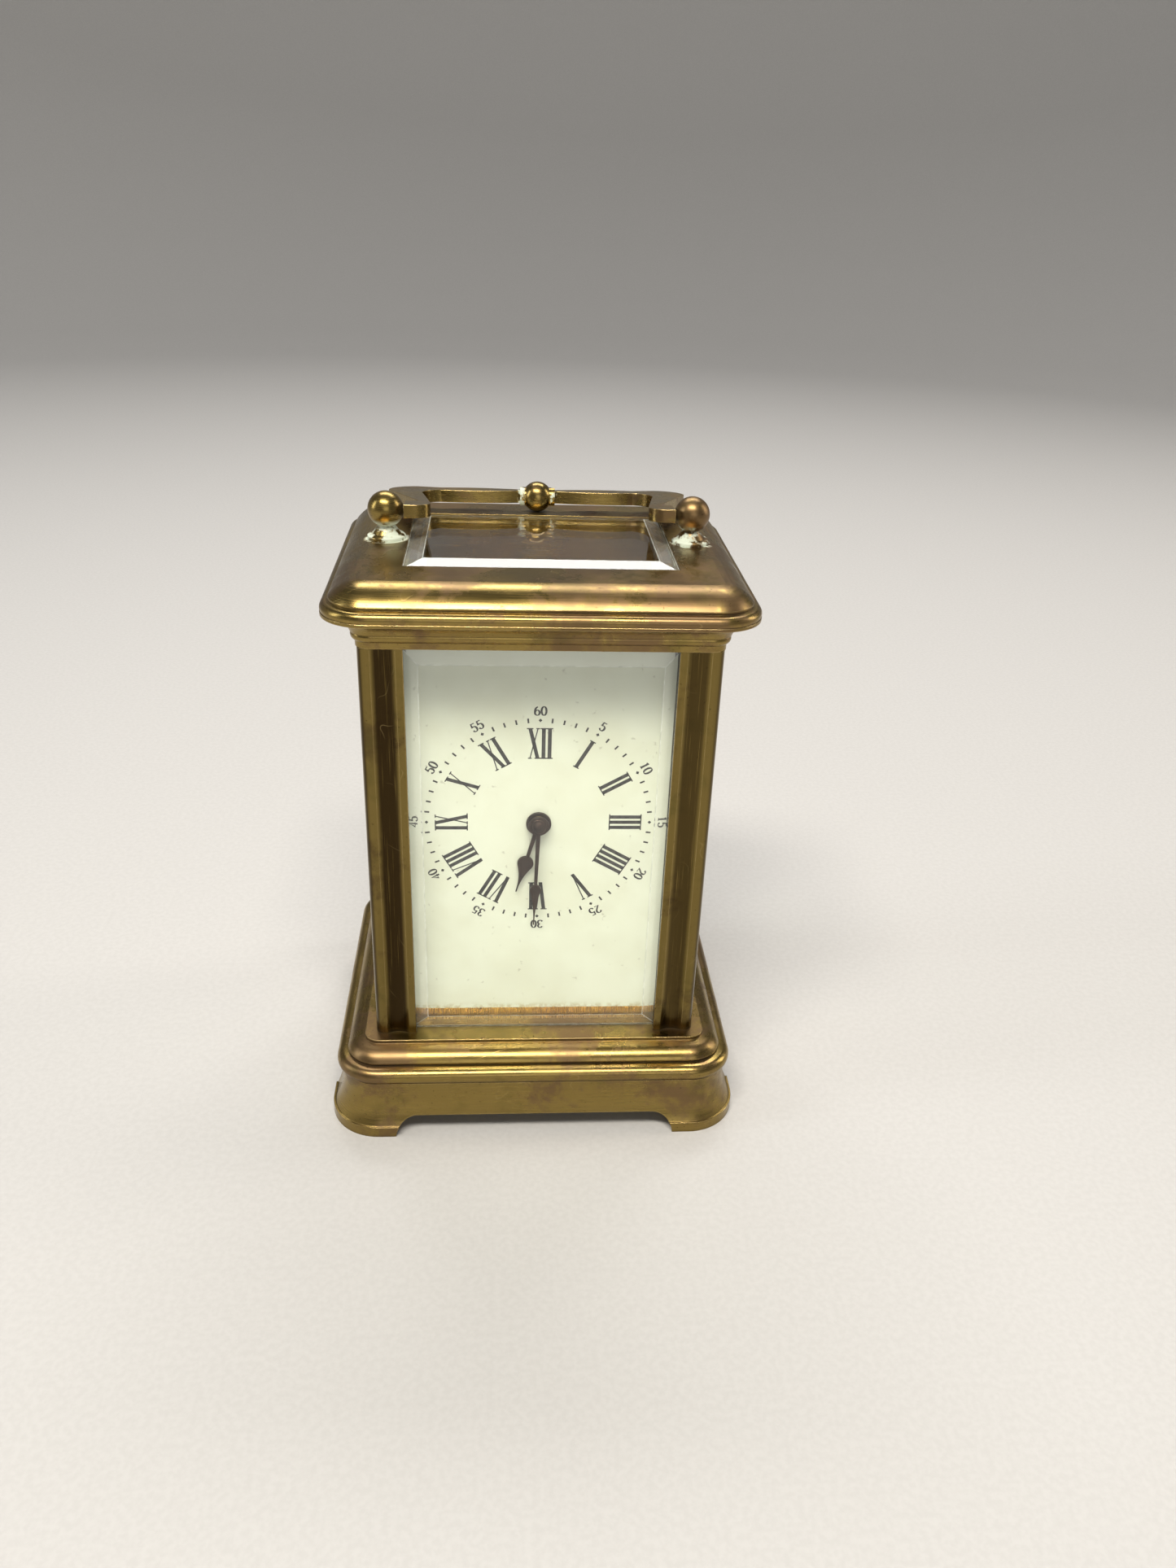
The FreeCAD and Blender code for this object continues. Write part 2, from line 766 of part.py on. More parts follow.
def wheel_shape(outer_wire, bore, thickness, hub, rim, spokes):
    """Flat wheel with a bore and, when it has spokes, a window between each two of them."""
    wires = [outer_wire, ring_wire(bore)]
    margin = value("spoke_width") / 2 / hub
    for spoke in range(spokes):
        start = TAU * spoke / spokes + margin
        finish = TAU * (spoke + 1) / spokes - margin
        wires.append(sector_wire(hub, rim, start, finish))
    return plate_of(wires, thickness)


def gear_outline(teeth, module, turn):
    """Wheel teeth with shallow tips and plenty of backlash."""
    radius = module * teeth / 2
    return toothed_wire(teeth, radius - WHEEL_ROOT * module, radius + WHEEL_TIP * module,
                        WHEEL_ROOT_HALF, WHEEL_TIP_HALF, turn)


def gear_shape(teeth, module, thickness, bore, turn=0.0, spokes=0):
    """Gear wheel about local Z; one tooth points to the angle of turn."""
    hub = bore + value("hub_wall")
    rim = module * teeth / 2 - WHEEL_ROOT * module - value("rim_width")
    return wheel_shape(gear_outline(teeth, module, turn), bore, thickness, hub, rim, spokes)


def facing(angle, teeth, gap):
    """Turn of a gear that puts a tooth, or a gap between two teeth, at an angle in degrees."""
    return math.radians(angle) + (math.pi / teeth if gap else 0.0)


def half_turn_spiral(inner, outer, turns, strip, height):
    """Flat spiral strip of half circles, as a spring rests."""
    step = (outer - inner - strip) / (2 * turns)

    def side(start):
        edges = []
        left = Vector(-start, 0, 0)
        radius = start
        up = 1
        for _ in range(2 * turns):
            right_x = left.x + up * (2 * radius + step)
            far = Vector(right_x, 0, 0)
            middle = Vector((left.x + right_x) / 2, up * abs(right_x - left.x) / 2, 0)
            edges.append(Part.Arc(left, middle, far).toShape())
            left = far
            radius += step
            up = -up
        return edges, left
    inner_edges, inner_end = side(inner)
    outer_edges, outer_end = side(inner + strip)
    ends = [
        Part.LineSegment(inner_end, outer_end).toShape(),
        Part.LineSegment(Vector(-inner, 0, 0), Vector(-inner - strip, 0, 0)).toShape(),
    ]
    wire = Part.Wire(Part.__sortEdges__(inner_edges + outer_edges + ends))
    return Part.Face(wire).extrude(Vector(0, 0, height))


def screw_shape(head_radius, head_height, shank_radius, shank_length):
    """Slotted cheese-head screw: the head from 0 down, the shank above it along +Z."""
    head = Part.makeCylinder(head_radius, head_height, Vector(0, 0, -head_height))
    half_width = SLOT_HALF_WIDTH * head_radius
    half_length = SLOT_HALF_LENGTH * head_radius
    slot = Part.makeBox(2 * half_length, 2 * half_width, SLOT_DEPTH * head_height,
                        Vector(-half_length, -half_width, -head_height))
    return head.cut(slot).fuse(Part.makeCylinder(shank_radius, shank_length))


def group(label, shapes):
    """Several equal solids that share one sub-part."""
    return shaped(label, Part.makeCompound(shapes))


def moved(shape, x, y, z, axis=Vector(1, 0, 0), angle=0.0):
    """Copy of a shape, turned about an axis and then moved."""
    copy = shape.copy()
    copy.Placement = FreeCAD.Placement(Vector(x, y, z), FreeCAD.Rotation(axis, angle))
    return copy


def corners(x, y):
    """The four sign pairs applied to a place."""
    return [(side * x, end * y) for side in (-1, 1) for end in (-1, 1)]


def tube(outer, inner, length):
    """Pipe about local Z."""
    return Part.makeCylinder(outer, length).cut(Part.makeCylinder(inner, length))


def turned_placement(target, rotation):
    """Turn an object where it stands."""
    target.Placement = FreeCAD.Placement(target.Placement.Base, rotation)


# --- case ------------------------------------------------------------------------------------------

def swept_moulding(body, half_x, half_y, corner, profile):
    """Sweep a moulding profile, drawn at the +X side, round a rounded rectangle."""
    path = sketch_on(body, "XY_Plane")
    rounded_rectangle(path, half_x, half_y, corner)
    section = sketch_on(body, "XZ_Plane")
    outline(section, profile)
    sweep = body.newObject("PartDesign::AdditivePipe", body.Label + "_moulding")
    sweep.Profile = section
    sweep.Spine = path
    sweep.Transition = "Right corner"
    return sweep


def base_profile():
    """Base moulding from the ground up: band, flared waist, torus, groove, ogee and ledge."""
    at = "half_width - "
    return [
        (at + "ring_set_in", "0"),
        ("half_width", "0"),
        ("half_width", "foot_band_height"),
        (at + "foot_flare_set_in", "foot_band_height", "waist_radius", "right"),
        (at + "waist_set_in", "waist_height"),
        (at + "torus_foot_set_in", "waist_height", "torus_radius", "left"),
        (at + "torus_set_in", "waist_height + torus_height"),
        (at + "groove_set_in", "waist_height + torus_height + groove_rise"),
        (at + "ogee_foot_set_in", "ogee_foot_height"),
        (at + "ogee_foot_set_in", "ogee_foot_height + ogee_fillet", "ogee_radius", "left"),
        (at + "step_set_in", "base_height - step_drop"),
        (at + "ledge_set_in", "base_height - ledge_edge"),
        (at + "ledge_set_in", "base_height"),
        (at + "ring_set_in", "base_height"),
    ]


def arch(sketch, half_span):
    """Low arch with quarter-round shoulders that leaves a foot at each end."""
    outline(sketch, [
        ("-(%s)" % half_span, "-cut_over"),
        (half_span, "-cut_over"),
        (half_span, "0", "cutout_height", "left"),
        ("%s - cutout_height" % half_span, "cutout_height"),
        ("cutout_height - (%s)" % half_span, "cutout_height", "cutout_height", "left"),
        ("-(%s)" % half_span, "0"),
    ])


def make_base():
    """Cast base: moulded on the outside, hollow below, standing on four corner feet."""
    body = new_body("base")
    swept_moulding(body, "half_width", "half_depth", "base_corner_radius", base_profile())
    add_up(body, "0", "base_height", rounded_rectangle, "half_width - ledge_set_in",
           "half_depth - ledge_set_in", "base_corner_radius - ledge_set_in")
    cut_up(body, "0", "base_recess", rounded_rectangle,
           "half_width - base_wall", "half_depth - base_wall", "recess_corner_radius")
    cut_back(body, "-half_depth - cut_over", "half_depth + cut_over", arch, "(half_width - foot_length)")
    cut_side(body, "-half_width - cut_over", "half_width + cut_over", arch, "(half_depth - foot_length)")
    above = "base_height + cut_over"
    for x in ("-pillar_mid_x", "pillar_mid_x"):
        for y in ("-pillar_mid_y", "pillar_mid_y"):
            cut_up(body, "0", above, circle, x, y, "screw_radius + fit")
    for x in ("-seat_screw_x", "seat_screw_x"):
        cut_up(body, "0", above, circle, x, "seat_screw_y", "plate_screw_radius + fit")
    cut_up(body, "base_height - door_pin_length", above, circle, "hinge_x", "door_mid_y",
           "door_pin_radius + fit")


def crown_profile():
    """Top moulding from the neck up: bead, cove, lip, rim torus, groove and shoulder."""
    at = "half_width - "
    top = "case_height - "
    return [
        (at + "crown_ring_set_in", "pillar_top"),
        (at + "neck_set_in", "pillar_top"),
        (at + "neck_set_in", top + "bead_drop", "bead_radius", "left"),
        (at + "bead_top_set_in", top + "bead_top_drop"),
        (at + "cove_set_in", top + "cove_drop", "cove_radius", "right"),
        (at + "lip_foot_set_in", top + "(rim_drop + lip_height)"),
        (at + "lip_set_in", top + "(rim_drop + lip_height)"),
        (at + "lip_set_in", top + "rim_drop"),
        (at + "rim_foot_set_in", top + "rim_drop", "rim_radius", "left"),
        (at + "rim_set_in", top + "rim_top_drop"),
        (at + "crown_groove_set_in", top + "crown_groove_drop"),
        (at + "shoulder_set_in", top + "shoulder_foot_drop"),
        (at + "shoulder_set_in", top + "shoulder_drop", "shoulder_radius", "left"),
        (at + "crown_set_in", "case_height"),
        (at + "crown_ring_set_in", "case_height"),
    ]


def make_top():
    """Moulded top frame with a window for the top glass."""
    body = new_body("top_frame")
    swept_moulding(body, "rim_out_x", "rim_out_y", "rim_corner_radius", crown_profile())
    add_up(body, "pillar_top", "case_height", rounded_rectangle,
           "half_width - crown_set_in", "half_depth - crown_set_in", "crown_corner_radius")
    above = "case_height + cut_over"
    below = "pillar_top - cut_over"
    cut_up(body, "top_glass_floor", above, rectangle,
           "-top_glass_x - fit", "top_glass_x + fit", "-top_glass_y - fit", "top_glass_y + fit")
    cut_up(body, below, above, rectangle,
           "top_glass_lip - top_glass_x", "top_glass_x - top_glass_lip",
           "top_glass_lip - top_glass_y", "top_glass_y - top_glass_lip")
    cut_up(body, below, "top_glass_floor - top_lip_thickness", rectangle,
           "-window_x", "window_x", "-window_y", "window_y")
    for x in ("-pillar_mid_x", "pillar_mid_x"):
        for y in ("-pillar_mid_y", "pillar_mid_y"):
            cut_up(body, below, "pillar_top + tenon_length + hole_spare", circle, x, y,
                   "tenon_radius + fit")
    for x in ("-post_x", "post_x"):
        cut_up(body, "case_height - post_shank_length - hole_spare", above, circle, x, "0",
               "post_shank_radius + fit")
    cut_up(body, below, "pillar_top + door_pin_length", circle, "hinge_x", "door_mid_y",
           "door_pin_radius + fit")


def pillar_section(sketch):
    """Square pillar with a round outer corner and a shallow flute in its two outer faces."""
    half = "pillar_width / 2"
    flute_end = "flute_land + flute_width - " + half
    flute_start = "flute_land - " + half
    outline(sketch, [
        ("-" + half, "-" + half),
        (flute_start, "-" + half, "flute_radius", "right"),
        (flute_end, "-" + half),
        (half + " - pillar_corner_radius", "-" + half, "pillar_corner_radius", "left"),
        (half, "pillar_corner_radius - " + half),
        (half, "-(%s)" % flute_end, "flute_radius", "right"),
        (half, "-(%s)" % flute_start),
        (half, half),
        ("-" + half, half),
    ])


def make_pillar(label, x, y, angle, back):
    """Corner pillar in the place of the front right one, turned to its own corner."""
    body = new_body(label)
    add_up(body, "0", "pillar_height", pillar_section)
    add_up(body, "pillar_height - tenon_length", "pillar_height + tenon_length", circle, "0", "0",
           "tenon_radius")
    cut_up(body, "-cut_over", "screw_bite + hole_spare", circle, "0", "0", "screw_radius + fit")
    half = "pillar_width / 2"
    near = "glass_set_back - glass_clearance - " + half
    far = "glass_set_back + glass_thickness + glass_clearance - " + half
    reach = "glass_groove + glass_clearance - " + half
    if back != "x":
        cut_up(body, "-cut_over", "pillar_height", rectangle, "-%s - cut_over" % half, reach, near, far)
    if back != "y":
        cut_up(body, "-cut_over", "pillar_height", rectangle, "-(%s)" % far, "-(%s)" % near,
               "-(%s)" % reach, half + " + cut_over")
    place(body, x, y, "base_height", UP, angle)


def make_pillars():
    """Four pillars; the back pair has no groove towards the door."""
    make_pillar("pillar_front_right", "pillar_mid_x", "-pillar_mid_y", "0", "none")
    make_pillar("pillar_back_right", "pillar_mid_x", "pillar_mid_y", "90", "y")
    make_pillar("pillar_back_left", "-pillar_mid_x", "pillar_mid_y", "180", "x")
    make_pillar("pillar_front_left", "-pillar_mid_x", "-pillar_mid_y", "-90", "none")


def bevelled_glass(label, half_width, half_height, thickness):
    """Glass plate about its centre; the bevelled face looks to local +Y."""
    plate = DOC.addObject("Part::Box", label + "_plate")
    bind(plate, "Length", "2 * (%s)" % half_width)
    bind(plate, "Width", "%s - glass_bevel_depth" % thickness)
    bind(plate, "Height", "2 * (%s)" % half_height)
    place(plate, "-(%s)" % half_width, "glass_bevel_depth - %s" % thickness, "-(%s)" % half_height)
    face = DOC.addObject("Part::Wedge", label + "_face")
    for letter, half in (("X", half_width), ("Z", half_height)):
        bind(face, letter + "min", "-(%s)" % half)
        bind(face, letter + "max", half)
        bind(face, letter + "2min", "glass_bevel_width - (%s)" % half)
        bind(face, letter + "2max", "(%s) - glass_bevel_width" % half)
    face.Ymin = 0
    bind(face, "Ymax", "glass_bevel_depth")
    glass = sub_part(DOC.addObject("Part::MultiFuse", label), label)
    glass.Shapes = [plate, face]
    glass.Refine = True
    return glass


def make_glasses():
    """Front, side and top glasses."""
    front = bevelled_glass("glass_front", "window_x + glass_groove", "pillar_height / 2",
                           "glass_thickness")
    middle = "base_height + pillar_height / 2"
    place(front, "0", "glass_bevel_depth - glass_face_y", middle, UP, "180")
    for label, side, angle in (("glass_right", "", "-90"), ("glass_left", "-", "90")):
        pane = bevelled_glass(label, "window_y + glass_groove", "pillar_height / 2", "glass_thickness")
        place(pane, "%s(glass_face_x - glass_bevel_depth)" % side, "0", middle, UP, angle)
    top = bevelled_glass("glass_top", "top_glass_x", "top_glass_y", "top_glass_thickness")
    place(top, "0", "0", "case_height + top_glass_proud - glass_bevel_depth", Vector(1, 0, 0), "90")


def make_case_screws():
    """Four screws that hold the pillars to the base and two that hold the movement."""
    screw = screw_shape(value("screw_head_radius"), value("screw_head_height"), value("screw_radius"),
                        value("base_height - base_recess + screw_bite"))
    group("case_screws", [moved(screw, x, y, value("base_recess"))
                          for x, y in corners(value("pillar_mid_x"), value("pillar_mid_y"))])
    seat = screw_shape(value("plate_screw_head"), value("seat_head_height"), value("plate_screw_radius"),
                       value("base_height - base_recess + plate_pillar_inset"))
    depth = value("seat_screw_y")
    group("movement_seat_screws", [moved(seat, side * value("seat_screw_x"), depth, value("base_recess"))
                                   for side in (-1, 1)])


# --- handle --------------------------------------------------------------------------------------------

def make_posts():
    """Turned posts: flange, waisted neck and ball, with a bore for the handle's pin."""
    neck_top = "pivot_rise - sqrt(post_ball_radius ^ 2 - post_neck_radius ^ 2)"
    for label, x, toward in (("post_left", "-post_x", "1"), ("post_right", "post_x", "-1")):
        body = turned(label, [
            ("0", "-post_shank_length"),
            ("post_shank_radius", "-post_shank_length"),
            ("post_shank_radius", "0"),
            ("post_flange_radius", "0"),
            ("post_flange_radius", "post_flange_height - post_flange_chamfer"),
            ("post_flange_radius - post_flange_chamfer", "post_flange_height"),
            ("post_neck_foot_radius", "post_flange_height + post_neck_foot_rise"),
            ("post_neck_radius", neck_top, "post_ball_radius", "left"),
            ("0", "pivot_rise + post_ball_radius"),
        ])
        cut_side(body, "post_ball_radius - pin_depth - hole_spare", "post_ball_radius + cut_over",
                 circle, "0", "pivot_rise", "pin_radius + fit")
        place(body, x, "0", "case_height", UP, "90 - 90 * " + toward)


def mirrored(points):
    """The same run of points on the other side of the local Y axis, in the opposite order."""
    flipped = []
    for index in range(len(points) - 1, -1, -1):
        arc = points[index - 1][2:] if index > 0 else ()
        flipped.append(("-(%s)" % points[index][0], points[index][1]) + arc)
    return flipped


def bail_outline(sketch):
    """Bail seen square to its plane: lugs, notched scroll ends and a swelling bar."""
    root_x = "ball_end + fit"
    end_x = "arm_end_x - bar_end_reach"
    tip_x = "arm_end_x - lug_reach"
    notch_x = tip_x + " + neck_width"
    scroll_x = "post_x + scroll_reach"
    right = [
        (root_x, "handle_reach + bar_root_width / 2", "bar_swell_radius", "right"),
        (end_x, "handle_reach + bar_end_width / 2"),
        (scroll_x + " - scroll_radius", "handle_reach + scroll_rise", "scroll_radius", "right"),
        (scroll_x, "handle_reach + scroll_rise - scroll_radius"),
        (notch_x + " + notch_lean", "lug_radius + notch_height", "notch_radius", "left"),
        (notch_x + " + notch_radius", "lug_radius - lug_trim"),
        ("arm_end_x", "lug_radius - lug_trim"),
        ("arm_end_x", "-lug_radius"),
        (tip_x + " + lug_radius", "-lug_radius", "lug_radius", "right"),
        (tip_x, "0"),
        (tip_x + " + elbow_reach", "handle_reach - elbow_drop", "elbow_radius", "left"),
        (end_x, "handle_reach - bar_end_width / 2", "bar_swell_radius", "right"),
        (root_x, "handle_reach - bar_root_width / 2"),
    ]
    outline(sketch, right + mirrored(right))


def make_bail():
    """Bail, folded back so that the centre ball rests on the top."""
    bail = new_body("handle_bail")
    add_up(bail, "-handle_thickness / 2", "handle_thickness / 2", bail_outline)
    bore_end = "arm_end_x - lug_reach + lug_web"
    cut_side(bail, bore_end, "arm_end_x + cut_over", circle, "0", "0", "pin_radius")
    cut_side(bail, "-arm_end_x - cut_over", "-(%s)" % bore_end, circle, "0", "0", "pin_radius")
    place(bail, "0", "0", "pivot_height", Vector(-1, 0, 0), "handle_tilt")
    bind(bail, "Placement.Rotation.Angle", "handle_tilt")


def make_handle_ball():
    """Centre ball with a short collar at each side, pierced by a square hole for the bar."""
    collar_start = "sqrt(handle_ball_radius ^ 2 - handle_collar_radius ^ 2)"
    ball = turned("handle_ball", [
        ("0", "-ball_end"),
        ("handle_collar_radius", "-ball_end"),
        ("handle_collar_radius", "-(%s)" % collar_start, "handle_ball_radius", "left"),
        ("handle_collar_radius", collar_start),
        ("handle_collar_radius", "ball_end"),
        ("0", "ball_end"),
    ])
    cut_up(ball, "-ball_end - cut_over", "ball_end + cut_over", rectangle,
           "-handle_thickness / 2", "handle_thickness / 2", "-bar_root_width / 2", "bar_root_width / 2")
    place(ball, "0", "handle_reach * cos(handle_tilt)", "pivot_height - handle_reach * sin(handle_tilt)")
    tilt = FreeCAD.Rotation(Vector(-1, 0, 0), value("handle_tilt"))
    turned_placement(ball, tilt.multiply(FreeCAD.Rotation(Vector(0, 1, 0), 90)))


def make_handle_pins():
    """Two pivot pins, fixed in the bail and turning in the posts."""
    pin = Part.makeCylinder(value("pin_radius"), value("pin_depth + handle_gap + lug_reach - lug_web"))
    start = value("post_x - post_ball_radius + pin_depth")
    height = value("pivot_height")
    group("handle_pins", [
        moved(pin, -start, 0, height, Vector(0, 1, 0), 90),
        moved(pin, start, 0, height, Vector(0, 1, 0), -90),
    ])


# --- back door ---------------------------------------------------------------------------------------

def make_door_frame():
    """Door frame between the back pillars with a round hinge edge and a rebate for its glass."""
    half_z = "(door_high - door_low) / 2"
    half = "door_thickness / 2"
    front = "-(%s) - cut_over" % half
    behind = half + " + cut_over"
    frame = new_body("door_frame")
    add_back(frame, "-(%s)" % half, half, rectangle, "-door_x", "hinge_x", "-(%s)" % half_z, half_z)
    add_up(frame, "-(%s)" % half_z, half_z, circle, "hinge_x", "0", half)
    open_x = "door_x - door_rail"
    open_z = half_z + " - door_rail"
    cut_back(frame, front, behind, rectangle, "-(%s)" % open_x, open_x, "-(%s)" % open_z, open_z)
    rebate_x = open_x + " + door_lap + fit"
    rebate_z = open_z + " + door_lap + fit"
    cut_back(frame, front, "door_glass_thickness - " + half, rectangle,
             "-(%s)" % rebate_x, rebate_x, "-(%s)" % rebate_z, rebate_z)
    cut_up(frame, "-(%s) - cut_over" % half_z, half_z + " + cut_over", circle, "hinge_x", "0",
           "door_pin_radius")
    cut_back(frame, "%s - knob_stem_length" % half, behind, circle, "door_rail / 2 - door_x", "0",
             "knob_stem_radius")
    place(frame, "0", "door_mid_y", "door_mid_z")


def make_door_glass():
    """Bevelled glass in the door's rebate."""
    half_x = "door_x - door_rail + door_lap"
    half_z = "(door_high - door_low) / 2 - door_rail + door_lap"
    glass = bevelled_glass("door_glass", half_x, half_z, "door_glass_thickness")
    inner_face = "door_mid_y - door_thickness / 2"
    place(glass, "0", inner_face + " + door_glass_thickness - glass_bevel_depth", "door_mid_z")


def make_door_pins():
    """Two pins in the door's hinge edge that turn in the base and in the top frame."""
    reach = value("door_pin_length - hole_spare")
    pin = Part.makeCylinder(value("door_pin_radius"), reach + value("door_end_gap + door_pin_grip"))
    x = value("hinge_x")
    y = value("door_mid_y")
    group("door_pins", [
        moved(pin, x, y, value("base_height") - reach),
        moved(pin, x, y, value("pillar_top") + reach, Vector(1, 0, 0), 180),
    ])


def make_door_knob():
    """Turned knob in the rail opposite the hinge."""
    knob = turned("door_knob", [
        ("0", "-knob_stem_length"),
        ("knob_stem_radius", "-knob_stem_length"),
        ("knob_stem_radius", "0"),
        ("knob_neck_radius", "0"),
        ("knob_neck_radius", "knob_neck_height"),
        ("knob_radius", "knob_rim_height"),
        ("knob_crown_radius", "knob_height"),
        ("0", "knob_height"),
    ])
    along_y(knob, "door_rail / 2 - door_x", "door_face_y", "door_mid_z")


# --- dial and hands ----------------------------------------------------------------------------------

def make_dial():
    """Enamel dial plate on a brass backing, held to the front plate by two feet."""
    side = "window_x - dial_gap"
    head = "pillar_top - dial_gap"
    dial = new_body("dial")
    add_back(dial, "0", "dial_thickness", rectangle, "-(%s)" % side, side,
             "base_height + dial_sill", head)
    cut_back(dial, "-cut_over", "dial_thickness + cut_over", circle, "0", "dial_centre_height",
             "dial_hole_radius")
    place(dial, "0", "dial_y")

    backing = new_body("dial_backing")
    add_back(backing, "0", "backing_thickness", rectangle, "-(%s)" % side, side, "base_height", head)
    through = "backing_thickness + cut_over"
    cut_back(backing, "-cut_over", through, circle, "0", "dial_centre_height", "backing_hole_radius")
    for x in ("-dial_foot_x", "dial_foot_x"):
        cut_back(backing, "-cut_over", through, circle, x, "dial_foot_z", "dial_foot_radius + fit")
    place(backing, "0", "backing_y")

    foot = Part.makeCylinder(value("dial_foot_radius"), value("train_y - backing_y"))
    group("dial_feet", [moved(foot, side * value("dial_foot_x"), value("backing_y"), value("dial_foot_z"),
                              Vector(1, 0, 0), -90) for side in (-1, 1)])


def spade_outline(sketch, length, centre, width, taper_radius):
    """Stem from the boss, a round swelling and a long hollow-sided point, drawn along +Y."""
    lobe = "(%s / 2)" % width
    neck_y = "%s - sqrt(%s ^ 2 - (hand_neck_width / 2) ^ 2)" % (centre, lobe)
    shoulder_x = "%s * cos(spade_shoulder_angle)" % lobe
    shoulder_y = "%s + %s * sin(spade_shoulder_angle)" % (centre, lobe)
    outline(sketch, [
        ("-hand_stem_width / 2", "hand_stem_foot"),
        ("hand_stem_width / 2", "hand_stem_foot"),
        ("hand_neck_width / 2", neck_y, lobe, "left"),
        (shoulder_x, shoulder_y, taper_radius, "right"),
        ("hand_point_width / 2", length),
        ("-hand_point_width / 2", length, taper_radius, "right"),
        ("-" + shoulder_x, shoulder_y, lobe, "left"),
        ("-hand_neck_width / 2", neck_y),
    ])


def make_hand(label, spade, boss_radius, bore, y, angle):
    """Flat spade hand with a round boss; it points up before it is turned."""
    hand = new_body(label)
    add_up(hand, "0", "hand_thickness", circle, "0", "0", boss_radius)
    add_up(hand, "0", "hand_thickness", spade_outline, *spade)
    cut_up(hand, "-cut_over", "hand_thickness + cut_over", circle, "0", "0", bore)
    place(hand, "0", "%s + hand_thickness" % y, "dial_centre_height")
    stand = FreeCAD.Rotation(Vector(1, 0, 0), 90)
    clockwise = FreeCAD.Rotation(Vector(0, 1, 0), value(angle))
    turned_placement(hand, clockwise.multiply(stand))


def make_hands():
    """Hour hand on its pipe and minute hand on the cannon's nose."""
    hour = ("hour_hand_length", "hour_spade_centre", "hour_spade_width", "hour_taper_radius")
    minute = ("minute_hand_length", "minute_spade_centre", "minute_spade_width", "minute_taper_radius")
    make_hand("hour_hand", hour, "hand_boss_radius", "hour_pipe_radius", "hour_hand_y", "hour_hand_angle")
    make_hand("minute_hand", minute, "minute_boss_radius", "cannon_nose_radius", "minute_hand_y",
              "minute_hand_angle")


# --- movement frame ---------------------------------------------------------------------------------

def train_holes():
    """Places and bores of the arbors that run through or in both plates."""
    return [
        ("0", "dial_centre_height", "arbor_radius + fit"),
        ("0", "barrel_z", "barrel_arbor_radius + fit"),
        ("third_x", "third_z", "pivot_radius + fit"),
        ("fourth_x", "fourth_z", "pivot_radius + fit"),
    ]


def plate_corners():
    """Places of the four pillars between the plates, as expressions."""
    across = "plate_width / 2 - plate_pillar_inset"
    low = "base_height + plate_pillar_inset"
    high = "plate_top - plate_pillar_inset"
    return [(sign + "(%s)" % across, height) for sign in ("-", "") for height in (low, high)]


def plate_pillar_shape(drilled):
    """Turned bar between the plates, tapped at both ends; a low one is drilled from below too."""
    gap = value("plate_gap")
    collar = value("plate_pillar_collar")
    radius = value("plate_pillar_radius")
    bore = value("plate_screw_radius + fit")
    tapped = value("plate_screw_bite + hole_spare")
    shape = Part.makeCylinder(value("plate_pillar_waist"), gap)
    for end in (0, gap - collar):
        shape = shape.fuse(Part.makeCylinder(radius, collar, Vector(0, 0, end)))
    for end in (0, gap - tapped):
        shape = shape.cut(Part.makeCylinder(bore, tapped, Vector(0, 0, end)))
    if drilled:
        top = Vector(0, -value("hole_spare"), gap / 2)
        shape = shape.cut(Part.makeCylinder(bore, radius + value("cut_over"), top, Vector(0, 1, 0)))
    return shape


def make_plate(label, y, holes):
    """Plate of the movement with its own holes and those of the arbors, pillars and platform."""
    plate = new_body(label)
    add_back(plate, "0", "plate_thickness", rectangle, "-plate_width / 2", "plate_width / 2",
             "base_height", "plate_top")
    screws = [(x, z, "plate_screw_radius + fit") for x, z in plate_corners()]
    for x, z, bore in train_holes() + screws + holes:
        cut_back(plate, "-cut_over", "plate_thickness + cut_over", circle, x, z, bore)
    for x in ("-platform_screw_x", "platform_screw_x"):
        cut_up(plate, "plate_top - platform_screw_bite - hole_spare", "plate_top + cut_over", circle, x,
               "plate_thickness / 2", "platform_screw_radius + fit")
    place(plate, "0", y)


def make_plates():
    """Front and back plates, their pillars and the screws that hold them."""
    feet = [(x, "dial_foot_z", "dial_foot_radius + fit") for x in ("-dial_foot_x", "dial_foot_x")]
    stud = [("motion_x", "motion_z", "pivot_radius + fit")]
    make_plate("movement_front_plate", "front_plate_y", feet + stud)
    click = [("click_x", "click_z", "click_screw_radius + fit")]
    make_plate("movement_back_plate", "back_plate_y", click)

    low = plate_corners()[0][1]
    bars = []
    for x, z in plate_corners():
        bar = plate_pillar_shape(z == low)
        bars.append(moved(bar, value(x), value("train_y"), value(z), Vector(1, 0, 0), -90))
    group("movement_pillars", bars)

    screw = screw_shape(value("plate_screw_head"), value("plate_head_height"),
                        value("plate_screw_radius"), value("plate_thickness + plate_screw_bite"))
    screws = []
    for x, z in plate_corners():
        screws.append(moved(screw, value(x), value("front_plate_y"), value(z), Vector(1, 0, 0), -90))
        screws.append(moved(screw, value(x), value("rear_y"), value(z), Vector(1, 0, 0), 90))
    group("plate_screws", screws)


# --- going train --------------------------------------------------------------------------------------

def make_wheel(label, shape, x, y, z):
    """Flat wheel about local Z set with its axis along Y."""
    shaped(label, shape, x, y, z, Vector(1, 0, 0), "-90")


def local_angle(x_step, z_step):
    """Angle of a direction in the X-Z plane, seen in the local frame of a part that lies along Y."""
    return math.degrees(math.atan2(-z_step, x_step))


def pinion_shape(leaves, module, length, bore, turn):
    """Short pinion with slim leaves about local Z."""
    radius = module * leaves / 2
    wire = toothed_wire(leaves, radius - LEAF_ROOT * module, radius + LEAF_TIP * module,
                        LEAF_ROOT_HALF, LEAF_TIP_HALF, turn)
    return plate_of([wire, ring_wire(bore)], length)


